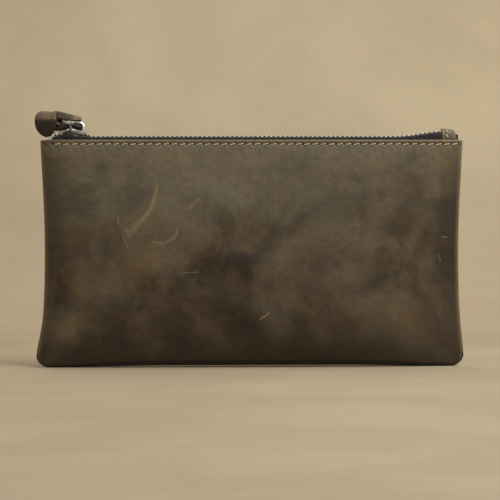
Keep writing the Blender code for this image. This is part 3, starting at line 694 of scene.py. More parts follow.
def shell(outer, side):
    """Rings of points round a sheet of leather: up its outside, over its rim, down its inside."""
    normals = sheet_normals(outer, side)
    inward = normals.copy()
    inward[:, 0, 1] = 0
    inward[:, -1, 1] = 0
    inward[0, :, :] = [0, 0, -1]
    inward /= np.maximum(np.linalg.norm(inward, axis=-1, keepdims=True), 1e-9)
    inner = outer - LEATHER * inward
    inner[:, 0, 1] = outer[:, 0, 1]
    inner[:, -1, 1] = outer[:, -1, 1]
    inner[..., 1] = side * np.maximum(side * inner[..., 1], SEAM_GAP)
    top, out = outer[-1], inward[-1]
    radius = LEATHER / 2
    arcs = []
    for degrees in RIM_ARC:
        a = math.radians(degrees)
        arcs.append(top - radius * out + radius * (math.cos(a) * out + [0, 0, math.sin(a)]))
    return np.concatenate([outer, np.array(arcs), inner[::-1]]), normals


def leather_skin(side, finish, split):
    """A panel's leather. The front is split in two halves."""
    columns = skin_columns()
    heights = skin_heights()
    z = np.repeat(heights[:, None], len(columns), axis=1)
    x = half_width(z) * columns[None, :]
    outer = skin_point(x, z, side)
    outer[:, 0, 1] = outer[:, -1, 1] = side * SEAM_GAP
    outer[0, :, 1] = side * SEAM_GAP
    rings, normals = shell(outer, side)
    edge = inset_from_seam(x, z)
    edge[:, 0] = edge[:, -1] = 0
    rows = len(heights)
    edges = np.concatenate([edge, np.repeat(edge[-1:], len(RIM_ARC), axis=0), edge[::-1]])
    middle, end = len(columns) // 2, len(columns)
    made = []
    for half, low, high in ((-1, 0, middle + 1), (1, middle, end)) if split else ((0, 0, end),):
        part = rings[:, low:high]
        count, across = part.shape[:2]
        faces = grid_faces(count, across, flip=(side == BACK))
        bottom = [
            [i, i + 1, (count - 1) * across + i + 1, (count - 1) * across + i]
            for i in range(across - 1)
        ]
        faces += bottom if side == BACK else [f[::-1] for f in bottom]
        for column in (0, across - 1):
            for j in range(count // 2):
                other = count - 1 - j
                a, b = j * across + column, (j + 1) * across + column
                c, d = (other - 1) * across + column, other * across + column
                if b != c:
                    faces.append([a, b, c, d])
        piece = add_mesh(piece_name(side, "leather", half), part.reshape(-1, 3), faces, finish)
        fix_normals(piece)
        store(piece, "edge_mm", edges[:, low:high])
        given = np.zeros((count, across, 3))
        given[: rows - 2] = normals[: rows - 2, low:high]
        given[:, 0] = given[:, -1] = 0
        if half:
            seam = across - 1 if half < 0 else 0
            given[: rows - 2, seam] = normals[: rows - 2, low:high][:, seam]
        piece.data.normals_split_custom_set_from_vertices(given.reshape(-1, 3).tolist())
        made.append((piece, half))
    return made


def lining_sheet(side, half):
    """The lining: a soft fabric sheet that hangs just inside the leather."""
    low, high = 4.0, HEIGHT - 3.0
    z = np.linspace(low, high, 46)[:, None]
    u = np.linspace(-1, 1, 91)[None, :]
    if half:
        u = np.linspace(-1, 0, 46)[None, :] if half < 0 else np.linspace(0, 1, 46)[None, :]
    z = np.repeat(z, u.shape[1], axis=1)
    x = (half_width(z) - 3.6) * u
    wrinkle = 0.18 * waves(x, z, 22, 9, SEED + 20 + side) * smooth((high - z) / 12)
    y = np.maximum(belly(x, z) + EDGE_ROUND - 2.75 + wrinkle - 0.15, 0.6)
    points = np.stack([x, side * y, z], -1)
    name = piece_name(side, "lining_cloth", half)
    made = add_mesh(name, points.reshape(-1, 3), grid_faces(*z.shape), COTTON)
    store(made, "weave_a", x)
    store(made, "weave_b", z)
    thicken(made, 0.4)
    return made


# ---- The zip ----


def hermite(track, x):
    """A smooth curve through (place, value) pairs that never overshoots them."""
    if x <= track[0][0]:
        return track[0][1]
    if x >= track[-1][0]:
        return track[-1][1]
    slopes = [(z1 - z0) / (x1 - x0) for (x0, z0), (x1, z1) in zip(track, track[1:])]
    inner = [2 * a * b / (a + b) if a * b > 0 else 0.0 for a, b in zip(slopes, slopes[1:])]
    leans = [0.0, *inner, 0.0]
    k = next(k for k in range(len(slopes)) if x <= track[k + 1][0])
    (x0, z0), (x1, z1) = track[k], track[k + 1]
    wide = x1 - x0
    t = (x - x0) / wide
    return (
        z0 * (2 * t**3 - 3 * t**2 + 1)
        + z1 * (3 * t**2 - 2 * t**3)
        + leans[k] * wide * (t**3 - 2 * t**2 + t)
        + leans[k + 1] * wide * (t**3 - t**2)
    )


def chain_height(x):
    """Height of the chain's middle: raised at both ends, sloping down through the slider."""
    track = (
        (ARC_START, CHAIN_LEFT),
        (SLIDER_X - SLIDER_HALF, CHAIN_LEFT + 0.85),
        (SLIDER_X, CHAIN_LEFT),
        (SLIDER_X + SLIDER_HALF, CHAIN_LEFT - 1.25),
        (-76.5, CHAIN_MIDDLE),
        (70.0, CHAIN_MIDDLE),
        (76.0, CHAIN_MIDDLE + 0.45),
        (91.5, CHAIN_RIGHT),
        (93.6, CHAIN_RIGHT),
        (95.6, CHAIN_RIGHT - 1.4),
    )
    return hermite(track, x)


def row_frame(s, side):
    """A row's line at s from the blind end, its way out to the tape and its way up."""
    straight = TAPE_END - ARC_START
    if s < straight:
        x, z, up = TAPE_END - s, chain_height(TAPE_END - s), Vector((0, 0, 1))
    else:
        turn = (s - straight) / ARC_RADIUS
        x = ARC_START - ARC_RADIUS * math.sin(turn)
        z = CHAIN_LEFT - ARC_RADIUS * (1 - math.cos(turn))
        up = Vector((-math.sin(turn), 0, math.cos(turn)))
    along = x - SLIDER_X
    spread = SPREAD * ease((2.2 - along) / 5.4)
    on_edge = ease((-SLIDER_HALF - along) / 5.5) if s < straight + 1 else 1.0
    level = ease((x + 82) / 5) * (1 - ease((x - 90) / 3))
    roll = math.pi / 2 * on_edge + CHAIN_LEAN * level
    aside = spread + (TOOTH_HALF_THICK + 0.15 - SPREAD) * on_edge
    sideways = Vector((0, side, 0))
    line = Vector((x, 0, z)) + sideways * aside + up * ARC_LIFT * on_edge
    out = sideways * math.cos(roll) - up * math.sin(roll)
    thick = up * math.cos(roll) + sideways * math.sin(roll)
    return line, out, thick


# A tooth from its tip to the legs that grip the cord: along the chain, across it, share of its
# full thickness
TOOTH_OUTLINE = (
    (-0.44, 2.25, 1.15), (-0.50, 1.75, 1.35), (-0.48, 1.15, 1.25), (-0.36, 0.75, 0.9),
    (-0.42, 0.05, 0.85), (-0.36, -0.45, 0.8), (-0.14, -0.68, 0.7), (0.14, -0.68, 0.7),
    (0.36, -0.45, 0.8), (0.42, 0.05, 0.85), (0.36, 0.75, 0.9), (0.48, 1.15, 1.25),
    (0.50, 1.75, 1.35), (0.44, 2.25, 1.15), (0.24, 2.46, 0.9), (-0.24, 2.46, 0.9),
)


def teeth(side, half):
    """Half a row of crimped metal teeth."""
    first = TAPE_END - TEETH_END + (0 if side == FRONT else PITCH / 2)
    count = int((ROW_LENGTH - BARE_END - first) / PITCH) + 1
    points, faces, heads = [], [], []
    levels = (
        (-1.0, 0.2), (-0.94, 0.5), (-0.78, 0.78), (-0.45, 1.0),
        (0.45, 1.0), (0.78, 0.78), (0.94, 0.5), (1.0, 0.2),
    )
    for k in range(count):
        s = first + k * PITCH
        line, out, thick = row_frame(s, side)
        if half and (line.x < 0) != (half < 0):
            continue
        ahead = out.cross(thick).normalized()
        base = len(points)
        for level, inset in levels:
            for a, q, share in TOOTH_OUTLINE:
                across = 0.85 + (q - 0.85) * (0.9 + 0.1 * inset)
                high = TOOTH_HALF_THICK * level * share
                points.append(line + ahead * a * inset + out * across + thick * high)
                heads.append(ease((1.9 - across) / 0.5))
        faces += tube_faces(len(levels), len(TOOTH_OUTLINE), base)
    made = add_mesh(piece_name(side, "teeth", half), points, faces, TOOTH_METAL, 40)
    fix_normals(made)
    store(made, "head", heads)
    return made


def tape_section(s, side):
    line, out, _ = row_frame(s, side)
    tuck = ease((line.x - 93.2) / 1.8)
    bare = ease((line.x - 94.5) / 2)
    start = line + out * (SPINE_OUTER - 0.5 - 0.4 * bare)
    x = start.x
    rim = float(half_depth(np.array(x), np.array(HEIGHT))) - LEATHER - 0.25 - TAPE / 2
    low_z = HEIGHT - TAPE_DEPTH
    low = float(half_depth(np.array(x), np.array(low_z))) - LEATHER - 0.35 - TAPE / 2
    near = abs((line + out * SPINE_OUTER).y) + 0.3 - 0.9 * bare
    past_slider = SLIDER_WIDE + 0.1 + TAPE / 2
    by_slider = ease((x + 92.5) / 3) * (1 - ease((x + 80) / 5))
    bulge = max(rim, near + 0.3)
    bulge += (max(past_slider, bulge) - bulge) * by_slider
    bulge += (near + 0.15 - bulge) * tuck
    bend_z = min(start.z - 0.7, HEIGHT + 0.75) - 0.85 * tuck
    rim_z = min(HEIGHT + 0.1 - 0.9 * tuck, bend_z - 0.6)
    in_slider = ease((x - SLIDER_X + 5) / 2) * (1 - ease((x - SLIDER_X - 4) / 2))
    sag = (0.5 + 1.9 * ease((x - SLIDER_X + 4) / 5)) * in_slider
    top_z = min(start.z, start.z + out.z * 0.2) - sag
    return [
        start,
        Vector((x, side * (bulge - 0.35 * (1 - tuck)), top_z)),
        Vector((x, side * bulge, (top_z + bend_z) / 2)),
        Vector((x, side * bulge, bend_z)),
        Vector((x, side * rim, rim_z)),
        Vector((x, side * low, low_z)),
    ]


def curve_through(points, steps):
    """Catmull-Rom points through the given ones."""
    padded = [points[0] * 2 - points[1], *points, points[-1] * 2 - points[-2]]
    out = []
    for a, b, c, d in zip(padded, padded[1:], padded[2:], padded[3:]):
        for k in range(steps):
            t = k / steps
            line = 2 * b + (c - a) * t
            bend = (2 * a - 5 * b + 4 * c - d) * t * t
            out.append(0.5 * (line + bend + (3 * b - a - 3 * c + d) * t**3))
    out.append(points[-1].copy())
    return out


def tape_cloth(side, half):
    """Half a zip tape: the woven strip and, along its edge, the cord that carries the teeth."""
    middle = TAPE_END
    if half > 0:
        near_tab = np.linspace(-TAPE_TAIL, 12, 50)
        stations = np.concatenate([near_tab, np.linspace(12, middle, 90)[1:]])
    elif half < 0:
        stations = np.linspace(middle, ROW_LENGTH, 170)
    else:
        stations = np.linspace(-TAPE_TAIL, ROW_LENGTH, 300)
    rows, weave = [], []
    for s in stations:
        section = curve_through(tape_section(s, side), 4)
        rows.append(section)
        run = 0
        for k, p in enumerate(section):
            run += (p - section[k - 1]).length if k else 0
            weave.append((s, run))
    points = [p for row in rows for p in row]
    faces = grid_faces(len(rows), len(rows[0]))
    faces += tube_faces(len(stations), CORD_SIDES, len(points), capped=False)
    for s in stations:
        line, out, thick = row_frame(s, side)
        centre = line + out * CORD_OUT - thick * CORD_DROP
        for n in range(CORD_SIDES):
            a = 2 * math.pi * n / CORD_SIDES
            across, up = out * math.cos(a) * CORD_RADIUS, thick * math.sin(a) * CORD_RADIUS
            points.append(centre + across + up)
            weave.append((s * 1.5, a))
    made = add_mesh(piece_name(side, "tape", half), points, faces, TWILL)
    store(made, "weave_a", [w[0] for w in weave])
    store(made, "weave_b", [w[1] for w in weave])
    thicken(made, TAPE)
    return made


# ---- Threads ----


def sewn(name, runs, radius, finish):
    """Short stitches, each a bent capsule through its points, as one mesh."""
    points, faces, twists = [], [], []
    sides = 8
    for path, up in runs:
        fine = curve_through(path, 4)
        rings = len(fine)
        base = len(points)
        run = 0
        for k, p in enumerate(fine):
            ahead = (fine[min(k + 1, rings - 1)] - fine[max(k - 1, 0)]).normalized()
            aside = ahead.cross(up).normalized()
            over = aside.cross(ahead)
            run += (p - fine[k - 1]).length if k else 0
            end = min(k, rings - 1 - k) / (rings * 0.22)
            size = radius * (0.55 + 0.45 * ease(end))
            for n in range(sides):
                a = 2 * math.pi * n / sides
                points.append(p + aside * math.cos(a) * size + over * math.sin(a) * size)
                twists.append((run, a))
        faces += tube_faces(rings, sides, base)
    made = add_mesh(name, points, faces, finish)
    fix_normals(made)
    store(made, "twist_a", [t[0] for t in twists])
    store(made, "twist_b", [t[1] for t in twists])
    return made


# A stitch from hole to hole: share of its length, height, and how far it stands off the leather
STITCH_PATH = (
    (0.10, -0.42, -0.25), (0.24, -0.30, 0.16), (0.5, 0, 0.27), (0.76, 0.30, 0.16), (0.92, 0.42, -0.25),
)


def topstitches(side, half):
    """The slanting stitches along a panel's rim, from hole to hole."""
    chance = np.random.default_rng(SEED + side + 7)
    reach = int((WIDTH / 2 - 4.5) / STITCH)
    runs = []
    for k in range(-reach, reach + 1):
        start = k * STITCH
        sway = chance.uniform(-0.12, 0.12)
        if half and (start + STITCH / 2 < 0) != (half < 0):
            continue
        path = []
        for t, dz, out in STITCH_PATH:
            x = start + STITCH * t
            z = STITCH_LINE + (dz + sway) * 0.8
            at = skin_point(np.array(x), np.array(z), side)
            path.append(Vector((x, at[1] + side * out, at[2])))
        runs.append((path, Vector((0, side, 0))))
    return sewn(piece_name(side, "stitches", half), runs, THREAD_RADIUS, THREAD)


# ---- Metal parts ----


def rounded_solid(name, bm, finish, width, segments=3, angle=30):
    """A bmesh in millimetres as an object with its edges rounded."""
    bmesh.ops.recalc_face_normals(bm, faces=bm.faces)
    mesh = bpy.data.meshes.new(name)
    place = [v.co.copy() for v in bm.verts]
    for vert in bm.verts:
        vert.co *= MM
    bm.to_mesh(mesh)
    bm.free()
    finished(mesh, finish, place)
    made = linked(name, mesh)
    soften = made.modifiers.new("rounded_edges", "BEVEL")
    soften.width = width * MM
    soften.segments = segments
    soften.limit_method = "ANGLE"
    soften.angle_limit = math.radians(angle)
    soften.harden_normals = True
    return made


def prism(bm, outline, low, high):
    """Built ring by ring, as an extrusion orders its points differently from run to run."""
    close_rings(bm, [[bm.verts.new((x, y, z)) for x, y in outline] for z in (low, high)])


def mirrored(points):
    return points + [(x, -y) for x, y in reversed(points) if y > 0]


SLIDER_OUTLINE = (
    (-4.5, 3.3), (-4.35, 3.9), (-4.0, 4.35), (-3.4, 4.6), (-2.4, 4.62), (-0.9, 4.25), (0.6, 3.75),
    (2.0, 3.35), (3.2, 3.05), (3.9, 2.7), (4.3, 2.25), (4.5, 1.6),
)


def place_slider(bm):
    """Moves slider geometry from its own frame to its place on the chain."""
    place = Matrix.Translation((SLIDER_X, 0, CHAIN_LEFT)) @ Matrix.Rotation(SLIDER_TILT, 4, "Y")
    bmesh.ops.transform(bm, matrix=place, verts=bm.verts)


def slider_shell():
    """The slider: two domed plates with folded side flanges, and the wedge between them."""
    bm = bmesh.new()
    for level in (1, -1):
        rings = []
        for x, w in SLIDER_OUTLINE:
            deep = 1.1 if level > 0 else 0.45
            flange = deep * ease((x + 4.4) / 1.6) * (1 - 0.4 * ease((x - 3.4) / 1.0))
            droop = 0.35 * ease((x - 2.2) / 2.3) + 0.2 * ease((-3.6 - x) / 0.9)
            half = [
                (w, 1.1 - flange), (w + 0.03, 1.2), (w - 0.12, 1.6), (w - 0.45, 1.83),
                (w * 0.66, 1.95), (w * 0.33, 2.02),
            ]
            under = [(w - 0.6, 1.1), (w - 0.6, 1.1 - flange)]
            section = half + [(0, 2.04)] + [(-y, z) for y, z in reversed(half)]
            section += [(-y, z) for y, z in reversed(under)] + under
            drop = [droop * ease((z - 1.15) / 0.6) for _, z in section]
            rings.append(
                [bm.verts.new((x, y, level * (z - d))) for (y, z), d in zip(section, drop)]
            )
        close_rings(bm, rings)
    prism(bm, mirrored([(-4.2, 0.25), (-3.0, 0.45), (-1.0, 0)]), -1.2, 1.2)
    place_slider(bm)
    made = rounded_solid("slider_shell", bm, NICKEL, 0.12)
    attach(made, "slider")
    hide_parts("slider_body")


def slider_bridge():
    """The arched bridge on the slider's back, with spread feet, and the lock inside it, near-black as
    painted shade inside the bridge.
    """
    bm = bmesh.new()
    steps, sides = 30, 12
    rings = []
    for k in range(steps + 1):
        angle = math.pi * (1 - k / steps)
        c, s = math.cos(angle), math.sin(angle)
        x = -0.8 + 3.1 * math.copysign(abs(c) ** 0.62, c)
        z = 1.95 + 3.4 * s**0.62
        foot = abs(c) ** 4
        half = 1.25 + 0.6 * foot
        out = Vector((c, 0, s)).normalized()
        ring = []
        for n in range(sides):
            a = 2 * math.pi * n / sides
            across = half * math.copysign(abs(math.cos(a)) ** 0.75, math.cos(a))
            thick = 0.82 * math.copysign(abs(math.sin(a)) ** 0.9, math.sin(a))
            ring.append(bm.verts.new(Vector((x, across, z)) + out * thick))
        rings.append(ring)
    close_rings(bm, rings)
    place_slider(bm)
    made = rounded_solid("slider_bridge", bm, POLISHED, 0.08, 2, 60)
    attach(made, "slider")
    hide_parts("slider_crown")
    bm = bmesh.new()
    lock = [
        (-3.5, 1.9), (-3.5, 3.7), (-3.1, 4.6), (-2.2, 5.0),
        (0.6, 5.0), (1.5, 4.6), (1.9, 3.7), (1.9, 1.9),
    ]
    prism(bm, lock, -0.8, 0.8)
    stand = Matrix.Rotation(math.pi / 2, 4, "X")
    bmesh.ops.transform(bm, matrix=stand, verts=bm.verts)
    place_slider(bm)
    made = rounded_solid("slider_lock", bm, LOCK_SHADE_BLACK, 0.15)
    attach(made, "slider")


LINK_LENGTH, LINK_HALF, WIRE = 9.4, 3.2, 0.75
LINK_TILT = math.radians(17)
LINK_PIVOT = Vector((-82.9, 0, CHAIN_LEFT + 3.0))
LINK_PLACE = Matrix.Translation(LINK_PIVOT) @ Matrix.Rotation(LINK_TILT, 4, "Y")


def wire_link():
    """The wire ring, with rounded corners."""
    corner = 1.5
    path = []
    bar, half = -LINK_LENGTH, LINK_HALF
    for x, y, first in ((0, half, 0), (bar, half, 90), (bar, -half, 180), (0, -half, 270)):
        cx = x - math.copysign(corner, x + LINK_LENGTH / 2)
        cy = y - math.copysign(corner, y)
        for k in range(9):
            a = math.radians(first + 90 * k / 8)
            path.append(Vector((cx + corner * math.cos(a), cy + corner * math.sin(a), 0)))
    points, faces = [], []
    sides = 20
    for k, p in enumerate(path):
        ahead = (path[(k + 1) % len(path)] - path[k - 1]).normalized()
        out = Vector((ahead.y, -ahead.x, 0))
        for n in range(sides):
            a = 2 * math.pi * n / sides
            round_wire = out * math.cos(a) + Vector((0, 0, math.sin(a)))
            points.append(LINK_PLACE @ (p + WIRE * round_wire))
    for k in range(len(path)):
        for n in range(sides):
            m, after = (n + 1) % sides, (k + 1) % len(path)
            faces.append([k * sides + n, k * sides + m, after * sides + m, after * sides + n])
    made = add_mesh("wire_link", points, faces, LINK_METAL)
    fix_normals(made)
    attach(made, "pull_link")
    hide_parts("pull_link")


# ---- The leather pull and the tab ----


def strap(path, ups, halves, thick, steps=6, sides=20, square=0.45):
    """Points and faces of a rounded strap swept along a path, with its half-width at each point."""
    fine = curve_through(path, steps)
    fine_up = curve_through(ups, steps)
    wide = np.interp(np.linspace(0, len(halves) - 1, len(fine)), range(len(halves)), halves)
    deep = np.interp(np.linspace(0, len(thick) - 1, len(fine)), range(len(thick)), thick)
    points, edge = [], []
    for k, p in enumerate(fine):
        ahead = (fine[min(k + 1, len(fine) - 1)] - fine[max(k - 1, 0)]).normalized()
        aside = ahead.cross(fine_up[k]).normalized()
        over = aside.cross(ahead).normalized()
        for n in range(sides):
            a = 2 * math.pi * (n + 0.5) / sides
            c, s = math.cos(a), math.sin(a)
            across = math.copysign(abs(c) ** square, c) * wide[k]
            high = math.copysign(abs(s) ** (square + 0.25), s) * deep[k] / 2
            points.append(p + aside * across + over * high)
            edge.append(min(wide[k] - abs(across), 3.0) + 0.15)
    return points, tube_faces(len(fine), sides), edge


def joined(name, parts, finish):
    points, faces, edge = [], [], []
    for more, more_faces, more_edge in parts:
        base = len(points)
        points += more
        faces += [[base + i for i in face] for face in more_faces]
        edge += more_edge
    made = add_mesh(name, points, faces, finish, 60)
    fix_normals(made)
    store(made, "edge_mm", edge)
    return made


def raised(points):
    """Points given by their height above the rim, as vectors."""
    return [Vector((x, y, HEIGHT + z)) for x, y, z in points]


def leather_pull():
    """One strap: round the link's bar, through its own knot, with a cut tail and a paddle."""
    bar = LINK_PLACE @ Vector((-LINK_LENGTH, 0, 0))
    r = WIRE + 0.3 + 0.6
    loop = [bar + Vector(p) for p in (
        (-4.6, 0, -1.0), (-3.0, 0, -2.1), (-0.9, 0, -2.55), (r * 0.85, 0, -1.9),
        (r * 1.25, 0, -0.3), (r * 0.9, 0, r * 0.68), (0, 0, r), (-2.2, 0, 2.0), (-4.0, 0, 2.3))]
    ups = [(bar - p).normalized() for p in loop]
    ups[0] = ups[1] = Vector((0.3, 0, 1)).normalized()
    ups[-1] = ups[-2] = Vector((0, 0, -1))
    parts = [strap(loop, ups, [2.0] * 9, [1.2] * 9)]

    tail = raised(((-95.3, -0.9, 11.6), (-93.8, -1.3, 11.5), (-92.0, -1.3, 11.15),
                   (-88.0, -1.1, 10.35), (-85.0, -0.8, 9.85), (-82.6, -0.6, 9.45)))
    faces_out = [Vector(p).normalized() for p in (
        (0, -1, 0.1), (0, -1, 0.2), (0, -1, 0.25), (0, -0.95, 0.4), (0, -0.8, 0.6), (0, -0.45, 0.9))]
    parts.append(strap(tail, faces_out, [1.3, 1.8, 1.9, 1.65, 1.45, 1.3],
                       [1.2, 1.3, 1.3, 1.3, 1.25, 1.1], 8, 24, 0.3))

    band = raised(((-94.4, 0.4, 13.0), (-95.6, -1.7, 12.4), (-96.7, -2.9, 10.6), (-96.6, -3.3, 8.8),
                   (-95.4, -3.1, 7.2), (-93.6, -2.2, 6.5), (-92.6, 0.0, 7.0), (-92.8, 1.7, 9.0),
                   (-93.3, 2.1, 11.2), (-94.0, 1.5, 12.6), (-94.4, 0.4, 13.0)))
    middle = Vector((-95.2, -0.3, HEIGHT + 9.8))
    outward = [(p - middle).normalized() for p in band]
    parts.append(strap(band, outward, [1.0, 1.15, 1.3, 1.3, 1.25, 1.1, 1.1, 1.1, 1.1, 1.0, 1.0],
                       [1.0] * 11, 6, 20, 0.4))
    # the core and inner pieces fill the knot and the space below the tail with leather, which the
    # painted shade on undersides darkens to stand in for the shade behind the loop
    core = raised(((-93.2, 0.0, 9.6), (-95.0, 0.0, 9.9), (-96.8, 0.2, 10.6), (-98.0, 0.3, 11.3)))
    parts.append(strap(core, [Vector((0, -0.3, 1)).normalized()] * 4, [1.9, 2.0, 2.1, 2.3],
                       [3.6, 3.9, 3.2, 1.8], 6, 24, 0.7))
    inner = raised(((-98.4, 0.3, 7.8), (-96.6, 0.2, 6.4), (-94.0, 0.0, 6.1), (-91.4, 0.0, 6.2),
                    (-89.4, 0.0, 6.6), (-87.9, 0.0, 7.1)))
    parts.append(strap(inner, [Vector((0, 0, 1))] * 6, [2.1, 2.1, 2.0, 1.9, 1.7, 1.3],
                       [3.4, 4.4, 4.5, 4.2, 3.4, 2.2], 6, 24, 0.6))

    paddle = raised(((-95.2, 1.0, 11.2), (-96.2, 0.7, 12.1), (-97.5, -0.4, 12.4),
                     (-98.7, -1.9, 12.0), (-99.4, -3.5, 11.0), (-99.7, -4.5, 9.7),
                     (-99.7, -4.6, 8.2), (-99.6, -4.2, 6.6), (-99.4, -3.7, 5.1),
                     (-99.1, -3.1, 3.6), (-98.8, -2.6, 2.2), (-98.6, -2.2, 1.2)))
    paddle_up = []
    for k in range(len(paddle)):
        ahead = paddle[min(k + 1, len(paddle) - 1)] - paddle[max(k - 1, 0)]
        paddle_up.append(Vector((1, 0, 0)).cross(ahead).normalized() * -1)
    widths = [1.9, 2.3, 3.4, 4.5, 5.0, 5.2, 5.3, 5.15, 4.7, 3.9, 2.8, 1.3]
    parts.append(strap(paddle, paddle_up, widths, [1.5] * 11 + [1.1], 6, 32, 0.36))
    made = joined("pull_strap", parts, HIDE_SMALL)
    # how far each point faces down, for the painted shade on undersides
    store(made, "under", [-vertex.normal.z for vertex in made.data.vertices])
    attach(made, "leather_pull")
    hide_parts("leather_pull")


TAB_START, TAB_END, TAB_TOP = 91.9, 98.9, HEIGHT + 5.1


def tab_point(t, angle, grow):
    x = TAB_START + (TAB_END - TAB_START) * t
    half = 4.85 - 1.5 * t + grow
    top = TAB_TOP - 0.7 * t - 1.7 * max((t - 0.72) / 0.28, 0) ** 2 + grow
    low = HEIGHT - 0.35
    c, s = math.cos(angle), math.sin(angle)
    y = half * math.copysign(abs(c) ** 0.55, c)
    return Vector((x, y, low + (top - low) * abs(s) ** 0.9))


def end_tab():
    """The leather saddle over the zip's blind end, its edges rounded, and its stitches."""
    across, along = 33, 15
    bm = bmesh.new()
    grids = []
    for grow in (0.0, -1.2):
        grid = []
        for k in range(along):
            row = [tab_point(k / (along - 1), math.pi * n / (across - 1), grow) for n in range(across)]
            grid.append([bm.verts.new(p) for p in row])
        grids.append(grid)
    for grid in grids:
        for low, high in zip(grid, grid[1:]):
            for n in range(across - 1):
                bm.faces.new([low[n], low[n + 1], high[n + 1], high[n]])
    outer, inner = grids
    ring = [(0, n) for n in range(across)]
    ring += [(k, across - 1) for k in range(1, along)]
    ring += [(along - 1, n) for n in range(across - 2, -1, -1)]
    ring += [(k, 0) for k in range(along - 2, 0, -1)]
    for (a, b), (c, d) in zip(ring, ring[1:] + ring[:1]):
        bm.faces.new([outer[a][b], outer[c][d], inner[c][d], inner[a][b]])
    place = [v.co.copy() for v in bm.verts]
    made = rounded_solid("end_tab", bm, HIDE_TAB, 0.28, 3, 50)
    edge = []
    for p in place:
        t = (p.x - TAB_START) / (TAB_END - TAB_START)
        edge.append(min(t, 1 - t) * 7.5 + 0.1)
    store(made, "edge_mm", edge)
    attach(made, "back_half")
    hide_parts("zip_end_tab")
    runs = []
    for first, last in ((9, 26), (37, 57), (76, 104), (123, 143), (154, 171)):
        path = []
        for share in (0, 0.12, 0.5, 0.88, 1):
            angle = math.radians(first + (last - first) * share)
            lean = 0.14 * (share - 0.5) * (-1 if first > 90 else 1)
            path.append(tab_point(0.33 - lean, angle, -0.25 if share in (0, 1) else 0.26))
        middle = path[2]
        runs.append((path, Vector((0, middle.y, middle.z - HEIGHT)).normalized()))
    stitches = sewn("tab_stitches", runs, TAB_THREAD_RADIUS, CREAM)
    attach(stitches, "back_half")
    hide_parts("tab_stitching")


# ---- Stage ----


def stage_finish():
    g = Graph("pale_cloth")
    place = g.node("TexCoord", output=3)
    clouds = g.noise(place, 0.12, 5.0, 0.6, 0.4)
    weave = g.noise(place, 0.004, 3.0, 0.6)
    colour = g.mix(g.band(clouds, 0.3, 0.7), srgb(178, 163, 135), srgb(190, 175, 147))
    up = g.axis(place, 2)
    # painted shade: the floor is darker than the backdrop above it
    colour = g.mix(g.band(up, 0.16, 0.02), colour, (0.84, 0.83, 0.82), "MULTIPLY")
    # painted light: past the lights' reach the cloth is painted paler, so that it doesn't fall off
    # into the dark
    reach = g.vector("LENGTH", place)
    colour = g.mix(g.band(reach, 0.7, 1.5), colour, (0.92, 0.88, 0.80))
    g.surface(Base_Color=colour, Roughness=0.9, Normal=g.bump(weave, 0.25, 0.4))
    # the camera sees through the back of the cloth, so that the pouch can be seen from behind
    camera_ray = g.node("LightPath", output="Is Camera Ray")
    clear = g.times(camera_ray, g.node("NewGeometry", output="Backfacing"))
    cloth = {0: clear, 1: g.shader.outputs[0], 2: g.node("BsdfTransparent")}
    g.set(g.tree.nodes["Material Output"].inputs["Surface"], g.node("MixShader", cloth))
    return g.material


def make_stage():
    """A pale floor that curves up into its own backdrop."""
    profile = [(FLOOR_FRONT, 0.0), (BACKDROP_START, 0.0)]
    for k in range(1, CURVE_STEPS + 1):
        a = math.radians(90 * k / CURVE_STEPS)
        y = BACKDROP_START + BACKDROP_CURVE * math.sin(a)
        profile.append((y, BACKDROP_CURVE * (1 - math.cos(a))))
    profile.append((BACKDROP_START + BACKDROP_CURVE, BACKDROP_TOP))
    verts, faces = [], []
    for y, z in profile:
        verts += [(-FLOOR_HALF, y, z), (FLOOR_HALF, y, z)]
    for k in range(len(profile) - 1):
        faces.append([2 * k, 2 * k + 1, 2 * k + 3, 2 * k + 2])
    mesh = bpy.data.meshes.new("floor")
    mesh.from_pydata(verts, [], faces)
    mesh.materials.append(stage_finish())
    mesh.shade_smooth()
    linked("floor", mesh)


def area_light(name, place, target, size, power):
    lamp = bpy.data.lights.new(name, "AREA")
    lamp.shape = "RECTANGLE"
    lamp.size, lamp.size_y = size
    lamp.energy = power
    lamp.color = LAMP_WHITE
    made = linked(name, lamp)
    made.location = place
    made.rotation_euler = (Vector(target) - Vector(place)).to_track_quat("-Z", "Y").to_euler()


def make_sky():
    """An even sky. Past the end of the floor, the camera sees the backdrop's colour instead."""
    world = bpy.data.worlds.new("studio")
    world.use_nodes = True
    tree = world.node_tree
    sky = tree.nodes["Background"]
    sky.inputs[0].default_value = SKY_WHITE
    sky.inputs[1].default_value = 0.32
    far = tree.nodes.new("ShaderNodeBackground")
    far.inputs[0].default_value = (*srgb(158, 146, 124), 1)
    pick = tree.nodes.new("ShaderNodeMixShader")
    path = tree.nodes.new("ShaderNodeLightPath")
    tree.links.new(path.outputs["Is Camera Ray"], pick.inputs[0])
    tree.links.new(sky.outputs[0], pick.inputs[1])
    tree.links.new(far.outputs[0], pick.inputs[2])
    tree.links.new(pick.outputs[0], tree.nodes["World Output"].inputs["Surface"])
    bpy.context.scene.world = world


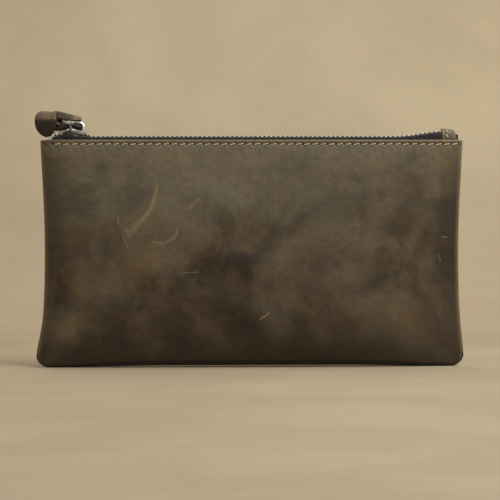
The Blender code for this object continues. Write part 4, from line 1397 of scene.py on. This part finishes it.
def light_and_camera():
    area_light("overhead", (0.5, -0.26, 0.92), (0.05, -0.02, 0.05), (0.9, 0.6), 9.4)
    area_light("back_fill", (-0.3, 0.45, 0.8), (0, 0, 0.06), (0.5, 0.4), 1.6)
    area_light("front_fill", (0.5, -1.3, 0.75), (0, 0, 0.06), (0.8, 0.6), 3.2)
    bpy.context.scene.view_settings.view_transform = "Standard"
    lens = bpy.data.cameras.new("camera")
    lens.sensor_width = SENSOR
    lens.lens = SENSOR * CAMERA_DISTANCE / FRAME_WIDTH
    lens.clip_start = 0.02
    camera = linked("camera", lens)
    rise = CAMERA_RISE / CAMERA_DISTANCE
    away = Vector((-math.sin(CAMERA_TURN), -math.cos(CAMERA_TURN), rise))
    camera.location = Vector(AIM) + CAMERA_DISTANCE * away
    camera.rotation_euler = (-away).to_track_quat("-Z", "Y").to_euler()
    bpy.context.scene.camera = camera


# ---- Build ----


def build_front():
    for piece, half in leather_skin(FRONT, HIDE_FRONT, True):
        follow_front(piece)
        if half < 0:
            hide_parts("front_panel")
    for make, node in (
        (lining_sheet, "front_lining"),
        (tape_cloth, "front_zip_tape"),
        (teeth, "front_teeth_row"),
        (topstitches, "front_topstitch"),
    ):
        for half in (-1, 1):
            piece = make(FRONT, half)
            follow_front(piece)
            if half < 0:
                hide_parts(node)


def build_back():
    for piece, _ in leather_skin(BACK, HIDE_BACK, False):
        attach(piece, "back_half")
        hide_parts("back_panel")
    for make, node in (
        (lining_sheet, "back_lining"),
        (tape_cloth, "back_zip_tape"),
        (teeth, "back_teeth_row"),
        (topstitches, "back_topstitch"),
    ):
        piece = make(BACK, 0)
        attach(piece, "back_half")
        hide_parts(node)


def top_stops():
    """Crimped stops at the open end of each row."""
    for side, label in ((FRONT, "front"), (BACK, "back")):
        line, out, thick = row_frame(ROW_LENGTH - 1.1, side)
        across = -out
        along = across.cross(thick)
        turn = Matrix((along, across, thick)).transposed().to_4x4()
        bm = bmesh.new()
        outline = [(-0.9, -2.2), (0.9, -2.2), (0.9, 0.1), (-0.9, 0.1)]
        prism(bm, outline, -TOOTH_HALF_THICK, TOOTH_HALF_THICK)
        bmesh.ops.transform(bm, matrix=Matrix.Translation(line) @ turn, verts=bm.verts)
        made = rounded_solid(f"{label}_stop", bm, POLISHED, 0.25)
        if side == FRONT:
            follow_front(made)
        else:
            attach(made, "back_half")
        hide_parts(f"{label}_top_stop")


def carried_nodes():
    """CAD nodes that are shown as they are, with their finishes."""
    for node, finish in (("bottom_stop", NICKEL), ("seam_thread", THREAD)):
        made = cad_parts[node]
        made.data.materials.clear()
        made.data.materials.append(finish)


build_front()
build_back()
top_stops()
slider_shell()
slider_bridge()
wire_link()
leather_pull()
end_tab()
carried_nodes()
make_stage()
make_sky()
light_and_camera()
